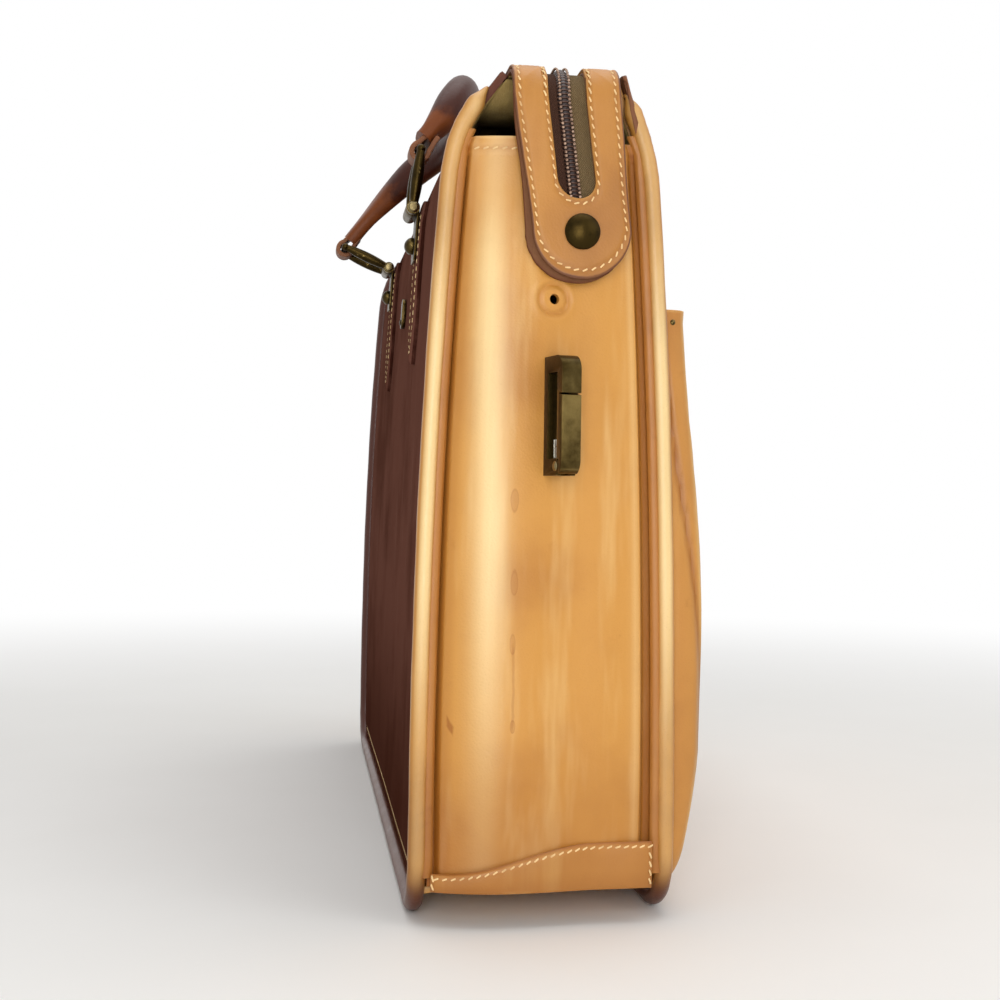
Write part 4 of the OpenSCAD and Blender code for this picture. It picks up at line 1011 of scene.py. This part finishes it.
def repeat(name, model, frames):
    """Copies of one small modelled piece, each with its own mesh, joined to one object."""
    copies = []
    for f in frames:
        one = model.copy()
        one.data = model.data.copy()
        bpy.context.collection.objects.link(one)
        one.data.transform(f)
        copies.append(one)
    fresh()
    for one in copies:
        one.select_set(True)
    bpy.context.view_layer.objects.active = copies[0]
    bpy.ops.object.join()
    whole = bpy.context.object
    whole.name = whole.data.name = name
    bpy.data.objects.remove(model)
    return whole


def frame_at(origin, along, out, size=(1, 1, 1)):
    """A placing matrix, in metres: X along, Z out of the surface."""
    x = along.normalized()
    z = (out - x * out.dot(x)).normalized()
    y = z.cross(x)
    turn = Matrix((x, y, z)).transposed().to_4x4()
    return Matrix.Translation(origin * MM) @ turn @ Matrix.Diagonal((*size, 1))


def bead_model():
    fresh()
    bpy.ops.mesh.primitive_uv_sphere_add(segments=8, ring_count=5, radius=0.5 * MM)
    bead = bpy.context.object
    bpy.ops.transform.resize(value=(1.15, 1.1, 0.9))
    bpy.ops.object.transform_apply(location=False, rotation=False, scale=True)
    return bead


def make_coil(name, sign):
    frames = []
    for row in (-1, 1):
        for i in range(int((TAB_START + TAB_WINDOW + 0.5) / COIL_PITCH)):
            s, v = 1.0 + i * COIL_PITCH, row * COIL_ROW + COIL_SHIFT
            here = strip_point(sign, s, v, COIL_H)
            along = strip_point(sign, s + 0.3, v, COIL_H) - here
            frames.append(frame_at(here, along, strip_point(sign, s, v, COIL_H + 1) - here))
    return settle(repeat(name, bead_model(), frames), coil, None)


for sign, end in ENDS:
    body, last = end + "_tab", TAB_START + TAB_WINDOW
    top = make_strip(end + "_strip", sign)
    bend_over(top, sign, body, end + "_tab_fold", end + "_end_tab")
    bend_over(back_ply(end + "_strip_back", sign), sign, body)
    cloth = ribbon(end + "_tape", sign, 12.0, 0.15, 0.7, last + 3, tape)
    bend_over(cloth, sign, body, end + "_tab_zip")
    spine = ribbon(end + "_coil_core", sign, 2.5, 0.3, 0.5, last + 1, core, 6, 1.6, COIL_SHIFT)
    bend_over(spine, sign, body)
    bend_over(make_coil(end + "_coil", sign), sign, body)
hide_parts("front_zip_band", "back_zip_band")
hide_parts("zip_tape", "zip_teeth")
print("strip columns:", len(strip_ks), "tab starts at", round(TAB_START, 1))

# %% [markdown]
# ## Lining, anchors and pocket
# The lining is glued to the inside of each panel. Four pointed leather anchors on the outside carry
# the handles. The back has a bellows pocket: one full sheet that is sewn on at three edges and stands
# open at the top, with a rivet at each upper corner and wrinkles where hands have pulled it. The
# lining's loose ends sag inside the shoulder, and a facing runs along each side of the zip.

# %% Lining, anchors and pocket


def make_lining(word, side):
    rows = sorted(set(spread(16.0 / SHOULDER_Z, 1.0, 0.08) + spread(1.0, 1.93, 0.07)))
    place = lambda x, t: panel_point(side, x, t, -2.6)
    columns, node = spread(-191.5, 191.5, 14), [word + "_lining"]
    sheet(word + "_suede", columns, rows, place, (0, -side, 0), None, (0.8, 0.15), suede, "case", node)


ANCHOR_ROWS = [(0, 1.2), (0.035, 3), (0.07, 4.5), (0.115, 6.6), (0.16, 8.5), (0.21, 10), (0.26, 11), (0.34, 12)]


def anchor_half(w):
    for (a, wa), (b, wb) in zip(ANCHOR_ROWS, ANCHOR_ROWS[1:]):
        if w <= b:
            return mix(wa, wb, (w - a) / (b - a))
    return 12.0


def anchor_point(side, end, u, w, off):
    z = mix(213.0, 283.0, w)
    return panel_point(side, end * HALF_SPAN + u * anchor_half(w), z / SHOULDER_Z, off)


def make_anchor(name, side, end):
    def place(u, w):
        rim = min((1 - abs(u)) * anchor_half(w), w * 70)
        return anchor_point(side, end, u, w, 4.3 - 1.2 * smooth(1 - rim / 2.0) - 0.35 * bell(rim - 2.9, 0.7))

    marks = {"rim": lambda u, w: 0.9 * smooth(1 - (1 - abs(u)) / 0.12)}
    columns = spread(-1, 1, 0.25, both([0.68, 0.78, 0.88, 0.95]))
    rows, finish = spread(0, 1, 0.05, [0.01, 0.02, 0.035, 0.07]), russet_and_shade if side < 0 else strap_hide
    sheet(name + "_strap", columns, rows, place, (0, side, 0), marks, (2.3, 0.4), finish, "case", [name + "_anchor"])


POCKET_TOP, POCKET_FULL, POCKET_W = 226.5, 12.0, 2.2
POCKET_LOW = CORNER_Z - (CORNER_IN - 1)


def pocket_point(c, z, off=0.0):
    """A point of the pocket's outer face; c runs -1 to 1 across it."""
    z = max(z, POCKET_LOW)
    reach = PANEL_END - 1.0
    if z < CORNER_Z:
        reach = PIPING_X - CORNER_R + math.sqrt(max(0.0, (CORNER_Z - POCKET_LOW) ** 2 - (CORNER_Z - z) ** 2))
    rise = POCKET_FULL * math.sqrt(min(1.0, (z - POCKET_LOW) / 50)) * (1 - 0.22 * smooth((z - 112) / 112))
    wall = POCKET_W * smooth((z - POCKET_LOW) / 3) + 2.6 * bell(z - 120, 75)
    p = panel_point(1, 0, z / SHOULDER_Z, PANEL_W / 2 + GAP)
    return Vector((c * reach, p.y + wall_at(c) * (rise + wall + off), z))


WRINKLES = (
    (182, 172, 0.35, 26, 1.1), (178, 150, 0.5, 22, 0.9), (184, 190, 0.2, 20, 0.8),
    (174, 128, 0.6, 24, 0.7), (180, 108, 0.4, 18, 0.6),
)


def wrinkle(x, z):
    fold = 0.0
    for cx, cz, lean, long, deep in WRINKLES:
        dx, dz = abs(x) - cx, z - cz
        along, across = dx * lean + dz, dx - dz * lean
        fold += deep * math.exp(-((along / long) ** 2) - (across / 2.4) ** 2)
    return fold * (0.7 if x < 0 else 1.0)


def wall_at(c):
    """0 at the sewn edge of the pocket and 1 on its outer face; the side wall lies between."""
    return math.sqrt(max(0.0, 1 - abs(c) ** 90))


def column_at(e):
    """The column at which wall_at is e."""
    return (1 - e * e) ** (1 / 90)


def crease(c, z):
    """1 where the side wall is pressed in, on a line that runs down and outward."""
    line = mix(0.16, 0.93, smooth((POCKET_TOP - z) / 150))
    return bell(wall_at(c) - line, 0.07) * smooth((z - 40) / 30)


def pocket_place(c, z):
    p = pocket_point(c, z)
    lip = 0.7 * smooth((z - POCKET_TOP + 5) / 5) * (0.4 + 0.6 * math.sin(p.x * 0.022 + 1.1) ** 2)
    p = pocket_point(c, z, lip - wrinkle(p.x, z) * (1 - abs(c) ** 24))
    p.x -= math.copysign(1.0, c) * 1.6 * crease(c, z)
    return p


SIDE_WALL = (0.1, 0.2, 0.3, 0.4, 0.5, 0.6, 0.7, 0.78, 0.85, 0.91, 0.95, 0.98)
side_cs = [0.6, 0.7, 0.78, 0.84, 0.88, 0.91, 0.935, 0.95] + [column_at(e) for e in SIDE_WALL]
pocket_cs = both(side_cs + [1], spread(-0.5, 0.5, 0.1))
pocket_zs = sorted(set(corner_rows(CORNER_IN - 1) + spread(30, POCKET_TOP, 6, [225.5, 224, 222])))
pocket_marks = {
    "rim": lambda c, z: smooth((z - POCKET_TOP + 2.5) / 2.5),
    # The crease is darkened as painted shade, and the sewn edge is dark too.
    "seam": lambda c, z: 0.95 * crease(c, z) + 0.6 * smooth(1 - wall_at(c) / 0.12),
    # A painted highlight along the rim where the side wall turns into the face.
    "light": lambda c, z: 0.75 * bell(wall_at(c) - 0.9, 0.045),
}
sheet(
    "back_bellows", pocket_cs, pocket_zs, pocket_place, (0, 1, 0), pocket_marks, (2.0, 0.4), honey, "case",
    ["back_pocket"],
)


def rivet_model():
    """A small domed rivet, flat below and a little wider at its rim."""
    fresh()
    bpy.ops.mesh.primitive_uv_sphere_add(segments=20, ring_count=10, radius=1.0 * MM)
    rivet = bpy.context.object
    for v in rivet.data.vertices:
        v.co.z *= 0.55 if v.co.z > 0 else 0.3
        wide = 1 + 0.12 * (abs(v.co.z) < 0.1 * MM)
        v.co.x, v.co.y = v.co.x * wide, v.co.y * wide
    return rivet


corner_frames = [
    frame_at(pocket_place(sign * column_at(0.52), 221.8), Vector((0, 0, 1)), Vector((sign, 0, 0)))
    for sign in (1, -1)
]
settle(repeat("pocket_rivets", rivet_model(), corner_frames), brass, "case")
for side, word in SIDES:
    for sign, end in ENDS:
        make_anchor(f"{word}_{end}", side, sign)
SAG = [
    (193, 309), (191.5, 304.5), (188.5, 300), (184, 298), (176, 297.6),
    (165, 299), (150, 302), (135, 306), (120, 309),
]


def make_tuck(name, sign, side):
    """The loose end of the lining, which sags inside the shoulder at each end of the case."""

    def place(i, v):
        x, z = SAG[i]
        y, _ = panel_line(side, 1 + (z - SHOULDER_Z) / SHOULDER_RISE)
        ripple = 0.5 * math.sin(v * 7 + i) * math.sin(math.pi * i / 8)
        return Vector((sign * x, mix(side * (y - 3.2), TOP_LEAN + side * 8.0, v), z + abs(ripple)))

    sheet(name, range(9), spread(0, 1, 0.12), place, (0, 0, -1), None, (0.9, 0.2), suede)


def facing_place(x, v):
    return Vector((x, TOP_LEAN + v, FOLD_Z + FOLD_R - GAP))


for sign, end in ENDS:
    for side, word in SIDES:
        make_tuck(f"{end}_{word}_tuck", sign, side)
for word, low, high in (("front", -19.0, -8.5), ("back", 8.5, 19.0)):
    columns, rows = spread(-193, 193, 20), spread(low, high, 3)
    sheet(word + "_facing", columns, rows, facing_place, (0, 0, -1), None, (0.7, 0.15), suede)
for side, word in SIDES:
    make_lining(word, side)
print("pocket columns and rows:", len(pocket_cs), len(pocket_zs))

# %% [markdown]
# ## Handles
# A handle is one rolled grip. At each end it is flat like a strap, loops round the bar of a link and
# is sewn back to itself. The grip is swept along a smooth curve through a few points, from a flat
# section to a round one, and each loop is a band of its own.

# %% Handles
LINK_L, LOOP_R = 26.0, 4.9
# A grip's half sizes, thin and wide, where it is flat and where it is round
FLAT, ROUND = (3.9, 7.4), (7.6, 9.0)
TURNS = {"front": (-7.0, 66.0), "back": (163.0, 163.0)}
# From the middle of a panel out to a handle's pivot: half the panel, an anchor and a clip, with gaps
FACE_OUT = PANEL_W / 2 + GAP + 2.4 + GAP + 3.1


def pivot_at(side, end):
    return panel_point(side, end * HALF_SPAN, 1 - 2.5 / SHOULDER_Z, FACE_OUT, 0.0)


def bar_at(side, end, turn):
    """Middle of a link's cross bar."""
    a = math.radians(turn)
    return pivot_at(side, end) + LINK_L * Vector((0, side * math.sin(a), math.cos(a)))


def curve_through(points, steps):
    run = []
    for i in range(len(points) - 1):
        a, b, c, d = (Vector(points[max(0, min(len(points) - 1, j))]) for j in (i - 1, i, i + 1, i + 2))
        square, cube = 2 * a - 5 * b + 4 * c - d, 3 * b - a - 3 * c + d
        for k in range(steps):
            u = k / steps
            run.append(0.5 * (2 * b + (c - a) * u + square * u * u + cube * u**3))
    return run + [Vector(points[-1])]


def sweep(name, path, radii, power, worn):
    """A closed skin along a path; radii are (thin, wide) half sizes and power squares the section."""
    last = len(path) - 1

    def place(i, a):
        tangent = (path[min(last, i + 1)] - path[max(0, i - 1)]).normalized()
        e1 = (Vector((0, 1, 0)) - tangent * tangent.y).normalized()
        e2 = tangent.cross(e1)
        thin, wide = radii[i]
        c, s = math.cos(a), math.sin(a)
        cc, ss = math.copysign(abs(c) ** power[i], c), math.copysign(abs(s) ** power[i], s)
        return path[i] + e1 * (thin * cc) + e2 * (wide * ss)

    angles = [2 * math.pi * k / 24 for k in range(25)]
    piece = grid_mesh(name, range(last + 1), angles, place, (0, 0, 1), {"rim": worn}, closed=True)
    nothing, everything = (("select_all", {"action": action}) for action in ("DESELECT", "SELECT"))
    edit(nothing, ("select_non_manifold", {}), ("edge_face_add", {}), everything, OUTWARD)
    return piece


def grip_path(side):
    base = pivot_at(side, 1)
    if side < 0:
        turns = (math.radians(t) for t in TURNS["front"])
        near, far = (LINK_L * Vector((math.sin(a), math.cos(a))) for a in turns)
        points = [
            (HALF_SPAN, near[0] - 1.4, near[1] + 5.7), (83, -9, near[1] + 11), (79, -16, 46), (71, -21, 54),
            (58, -25, 59.5), (30.2, -29, 62), (0, -31, 63), (-30.2, -30, 62), (-56, -23, 58),
            (-70, -9, 48), (-80, 8, 31), (-HALF_SPAN, far[0] - 3, far[1] + LOOP_R),
        ]
    else:
        hang = [(0, 0), (1, 10), (7, 21), (19, 29), (34, 33), (54, 36)]
        a = math.radians(TURNS["back"][0])

        def at(end, p):
            d = LINK_L + 5.7 + p[1]
            return (end * (HALF_SPAN - p[0]), d * math.sin(a), d * math.cos(a))

        points = [at(1, p) for p in hang] + [at(-1, p) for p in reversed(hang)]
    return curve_through([(p[0], base.y + side * p[1], base.z + p[2]) for p in points], 5)


def make_grip(name, side, body):
    path = grip_path(side)
    n = len(path) - 1
    swell = [smooth((min(i, n - i) - 3) / 9) for i in range(n + 1)]
    radii = [[mix(a, b, u) for a, b in zip(FLAT, ROUND)] for u in swell]
    power = [mix(0.6, 1.0, u) for u in swell]
    worn = lambda i, a: 1.6 * smooth(1 - min(i, n - i) / 14)
    return settle(sweep(name, path, radii, power, worn), grip_hide, body)


front_grip = make_grip("front_grip", -1, None)
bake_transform(front_grip)
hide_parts("front_handle_grip")
back_grip = make_grip("back_grip", 1, "back_handle")
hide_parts("back_handle_grip")


def make_loop(name, side, end, turn, toward, body):
    """The band that goes round a link's bar; toward is the way in which the strap leaves it."""
    middle = bar_at(side, end, turn)
    up = (toward - Vector((toward.x, 0, 0))).normalized()
    across = Vector((1, 0, 0)).cross(up).normalized()
    bends = [math.radians(-125 + 250 * k / 24) for k in range(25)]
    run = [(LOOP_R * math.sin(a), -LOOP_R * math.cos(a)) for a in bends]
    x, y = run[-1]
    tail = [(mix(x, 3.2, smooth(f * 1.2)), mix(y, 10.0, f)) for f in (0.15, 0.3, 0.45, 0.6, 0.8, 1.0)]
    run = [(-x, y) for x, y in reversed(tail)] + run + tail

    def place(i, v):
        x, y = run[i]
        worn = 0.25 * smooth((abs(v) - 0.8) / 0.2)
        return middle + Vector((v * 6.7, 0, 0)) + across * (x * (1 - worn * 0.2)) + up * y

    rows, marks = spread(-1, 1, 0.4, [-0.92, 0.92]), {"rim": lambda i, v: abs(v) ** 4 * 0.8}
    sheet(name, range(len(run)), rows, place, -up, marks, (2.2, 0.5), strap_hide, body)


front_run, back_run = grip_path(-1), grip_path(1)
for side, word, run in ((-1, "front", front_run), (1, "back", back_run)):
    near_turn, far_turn = TURNS[word]
    far_body = "front_far_ring" if side < 0 else "back_handle"
    make_loop(word + "_near_loop", side, 1, near_turn, run[6] - run[0], word + "_handle")
    make_loop(word + "_far_loop", side, -1, far_turn, run[-7] - run[-1], far_body)
print("grip points:", len(front_run), len(back_run))

# %% [markdown]
# ## Stitches
# The case is sewn by hand with pale waxed thread, about eight stitches to the inch. Each stitch lies
# at a slant and dips at its ends into the awl's holes. One stitch is modelled from a cylinder with six
# sides, cut at two places and squeezed toward its ends, then copied along every seam.

# %% Stitches


def stitch_model():
    fresh()
    bpy.ops.mesh.primitive_cylinder_add(vertices=6, radius=0.34 * MM, depth=2.6 * MM, rotation=(0, math.pi / 2, 0))
    stitch = bpy.context.object
    bpy.ops.object.transform_apply(location=False, rotation=True, scale=False)
    for x in (-0.8, 0.8):
        edit(("bisect", {"plane_co": (x * MM, 0, 0), "plane_no": (1, 0, 0)}))
    for v in stitch.data.vertices:
        u = v.co.x / (1.3 * MM)
        v.co.y *= 1.15 - 0.5 * abs(u) ** 3
        v.co.z = v.co.z * (1 - 0.4 * abs(u) ** 2) - 0.45 * MM * abs(u) ** 3
    return stitch


def stitch_row(points, out, pitch=3.3, slant=0.38):
    """Frames for stitches along a path of points; out(i, f) is the way out of the leather there."""
    frames, length, goal, sink = [], 0.0, pitch / 2, 0.12
    for i in range(len(points) - 1):
        a, b = points[i], points[i + 1]
        d = (b - a).length
        while length + d >= goal:
            f = (goal - length) / d
            along = (b - a).normalized()
            o = out(i, f).normalized()
            side = o.cross(along).normalized()
            lean = (along + side * (slant + 0.05 * math.sin(goal * 2.3))).normalized()
            frames.append(frame_at(a + (b - a) * f + o * sink, lean, o, (pitch / 3.3, 1, 1)))
            goal += pitch * (1 + 0.04 * math.sin(goal * 1.7))
        length += d
    return frames


def sew(name, frames, body):
    return settle(repeat(name, stitch_model(), frames), thread, body)


def seam_on(surface, spots):
    """Points of a seam and its outward ways, from a surface function of (a, b, height)."""
    points = [surface(a, b, 0.0) for a, b in spots]
    ways = [surface(a, b, 1.0) - p for (a, b), p in zip(spots, points)]
    return points, (lambda i, f: ways[i] * (1 - f) + ways[i + 1] * f)


stitches = 0
for sign, end in ENDS:
    on_strip = lambda k, w, h: strip_skin(sign, k, w, h)
    on_gusset = lambda s, z, h: mirrored(gusset_skin(s, z, h), sign)
    on_flap = lambda s, w, h: mirrored(flap_point(s, w, -0.1 + h), sign)
    ks, frames = [1 - i / 400 for i in range(801)], []
    for row in ([(k, 1 - OUTER_SEAM / band_width(k)) for k in ks], [(k, INNER_SEAM / band_width(k)) for k in ks]):
        frames += stitch_row(*seam_on(on_strip, row), slant=0.42)
    bend_over(sew(end + "_strip_stitches", frames, None), sign, end + "_tab")
    stitches += len(frames)
    frames = stitch_row(*seam_on(on_gusset, [(s / 60, HEM_SEAM) for s in range(-54, 52)]), slant=0.45)
    top_row = [(s / 60, 1 - 1.7 / (flap_top(s / 60) - FLAP_Z)) for s in range(-57, 58)]
    for row in [top_row] + [[(edge, w / 20) for w in range(1, 18)] for edge in (-0.945, 0.945)]:
        frames += stitch_row(*seam_on(on_flap, row), pitch=3.1)
    sew(end + "_end_stitches", frames, "case")
    stitches += len(frames)

for side, word in SIDES:
    on_panel = lambda x, t, h: panel_skin(side, x, t, h)
    turn_r, right = CORNER_IN - SEAM_IN, []
    for a in np.linspace(0, 1.5, 14):
        x, z = PIPING_X - CORNER_R + turn_r * math.sin(a), CORNER_Z - turn_r * math.cos(a)
        right.append((x, z / SHOULDER_Z))
    bottom = [(x, right[0][1]) for x in range(-172, 173, 6)]
    right += [(PANEL_END - SEAM_IN, t) for t in spread(0.095, 1.9, 0.02)]
    frames = stitch_row(*seam_on(on_panel, [(-x, t) for x, t in reversed(right)] + bottom + right))
    rows = [(-1, w / 40) for w in range(36, 2, -1)] + [(1, w / 40) for w in range(3, 37)]
    for end in (-1, 1):
        on_anchor = lambda u, w, h: anchor_point(side, end, u * (1 - 2.6 / anchor_half(w)), w, 4.05 + h)
        frames += stitch_row(*seam_on(on_anchor, rows), pitch=3.2)
    sew(word + "_panel_stitches", frames, "case")
    stitches += len(frames)
print("stitches:", stitches)

# %% [markdown]
# ## Metal fittings
# The fittings keep the solids of the frame. A copy of each is merged and its flat faces are dissolved
# to clean polygons, then its edges are rounded by a small bevel, as casting and polishing leave them.

# %% Metal fittings


def fitting(node, material, body, round_by, segments):
    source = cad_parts[node]
    piece = source.copy()
    piece.data = source.data.copy()
    for key in [k for k in piece.keys() if k.startswith("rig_")]:
        del piece[key]
    piece.name = piece.data.name = node + "_metal"
    bpy.context.collection.objects.link(piece)
    world = source.matrix_world.copy()
    piece.parent = None
    piece.data.transform(world)
    piece.matrix_world = Matrix.Identity(4)
    fresh()
    piece.select_set(True)
    bpy.context.view_layer.objects.active = piece
    flat = {"angle_limit": math.radians(1.5)}
    edit(("remove_doubles", {"threshold": 0.000004}), ("dissolve_limited", flat), OUTWARD)
    edge = piece.modifiers.new("rounded edges", "BEVEL")
    edge.width, edge.segments, edge.limit_method = round_by * MM, segments, "ANGLE"
    edge.angle_limit, edge.use_clamp_overlap = math.radians(40), True
    apply_all(piece)
    return settle(piece, material, body, [node])


MOVING = {
    "zip_slider": "slider", "zip_pull": "pull", "front_near_link": "front_handle",
    "front_far_link": "front_far_ring",
}
for sign, end in ENDS:
    MOVING[end + "_snap_cap"] = MOVING[end + "_snap_socket"] = end + "_tab"
    MOVING[end + "_gate"] = end + "_gate_lever"
    MOVING[f"back_{end}_link"] = "back_handle"
PALE = ["front_link_pins", "back_link_pins", "gate_pins"]
STEEL = ["near_gate_spring", "far_gate_spring", "bracket_screws"]
CAST = """
near_snap_cap near_snap_socket far_snap_cap far_snap_socket far_snap_stud near_strap_bracket far_strap_bracket
near_gate far_gate zip_slider zip_pull near_backing_plate far_backing_plate front_near_clip front_far_clip
back_near_clip back_far_clip clip_rivets front_near_link front_far_link back_near_link back_far_link front_plate
""".split()
for node in CAST + PALE + STEEL:
    finish = pin_metal if node in PALE else steel if node in STEEL else brass
    rounding = (0.6, 3) if node.endswith("bracket") else (0.2, 2)
    flexes = node.endswith("gate_spring")
    made = fitting(node, finish, None if flexes else MOVING.get(node, "case"), *rounding)
    if flexes:
        low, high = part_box(node)
        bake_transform(made)
bare_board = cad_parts["base_board"].data
bare_board.materials.clear()
bare_board.materials.append(board)

# %% [markdown]
# ## Studio
# A pale floor, a white world and four square lamps give even, soft light. The camera sees the world
# and the floor as near white, and the floor keeps the case's shadow.

# %% Studio


def floor_finish():
    """Matt and pale round the case, where its shadow falls, and white beyond, so that no horizon shows."""
    p = Paint("pale floor")
    grain = p.noise(p.place(), 6.0, 3.0, 0.6)
    p.set(Base_Color=p.mix(shade(250, 249, 247), shade(244, 243, 240), grain), Roughness=0.8)
    x, y = p.along("X"), p.along("Y")
    far = p.ramp((x * x + y * y) ** 0.5, 0.22, 1.3)
    rays = p.tree.nodes.new("ShaderNodeLightPath")
    white = p.node("ShaderNodeEmission", None, Color=(1, 1, 1, 1), Strength=1.0)
    direct, glossy = (Wire(p, rays.outputs[kind]) for kind in ("Is Camera Ray", "Is Glossy Ray"))
    seen = direct.sum("MAXIMUM", direct, glossy)
    choose = p.node("ShaderNodeMixShader", None, far * seen, Wire(p, p.skin.outputs[0]), white)
    p.tree.links.new(choose.socket, p.tree.nodes["Material Output"].inputs[0])
    return p.material


def make_studio():
    scene = bpy.context.scene
    scene.view_settings.view_transform = "Standard"
    scene.world = bpy.data.worlds.new("studio")
    scene.world.use_nodes = True
    tree = scene.world.node_tree
    light, white = tree.nodes["Background"], tree.nodes.new("ShaderNodeBackground")
    for node, colour, strength in ((light, shade(244, 243, 241), 0.36), (white, (1, 1, 1, 1), 1.0)):
        node.inputs[0].default_value, node.inputs[1].default_value = colour, strength
    rays = tree.nodes.new("ShaderNodeLightPath")
    seen = rays.outputs["Is Camera Ray"]
    for kind in ("Is Glossy Ray", "Is Transmission Ray"):
        either = tree.nodes.new("ShaderNodeMath")
        either.operation, either.use_clamp = "ADD", True
        tree.links.new(seen, either.inputs[0])
        tree.links.new(rays.outputs[kind], either.inputs[1])
        seen = either.outputs[0]
    choose = tree.nodes.new("ShaderNodeMixShader")
    for socket, source in zip(choose.inputs, (seen, light.outputs[0], white.outputs[0])):
        tree.links.new(source, socket)
    tree.links.new(choose.outputs[0], tree.nodes["World Output"].inputs[0])
    fresh()
    bpy.ops.mesh.primitive_plane_add(size=12, location=(0, 0, -0.0006))
    floor = bpy.context.object
    floor.name = "floor"
    floor.data.materials.append(floor_finish())


def lamp(name, spot, aim, size, watts):
    bpy.ops.object.light_add(type="AREA", location=spot)
    made = bpy.context.object
    made.name = name
    made.rotation_euler = (Vector(aim) - Vector(spot)).to_track_quat("-Z", "Y").to_euler()
    made.data.shape, made.data.size, made.data.energy = "SQUARE", size, watts


make_studio()
lamp("flash", (1.0, -0.13, 0.2), (0.2, 0, 0.2), 0.3, 2.1)
lamp("key", (1.75, -0.25, 0.8), (0.1, 0, 0.16), 0.7, 6)
lamp("side", (1.2, 1.3, 1.0), (0, 0, 0.15), 1.2, 4)
lamp("top", (0.0, 0.1, 2.0), (0, 0, 0.2), 1.8, 20)
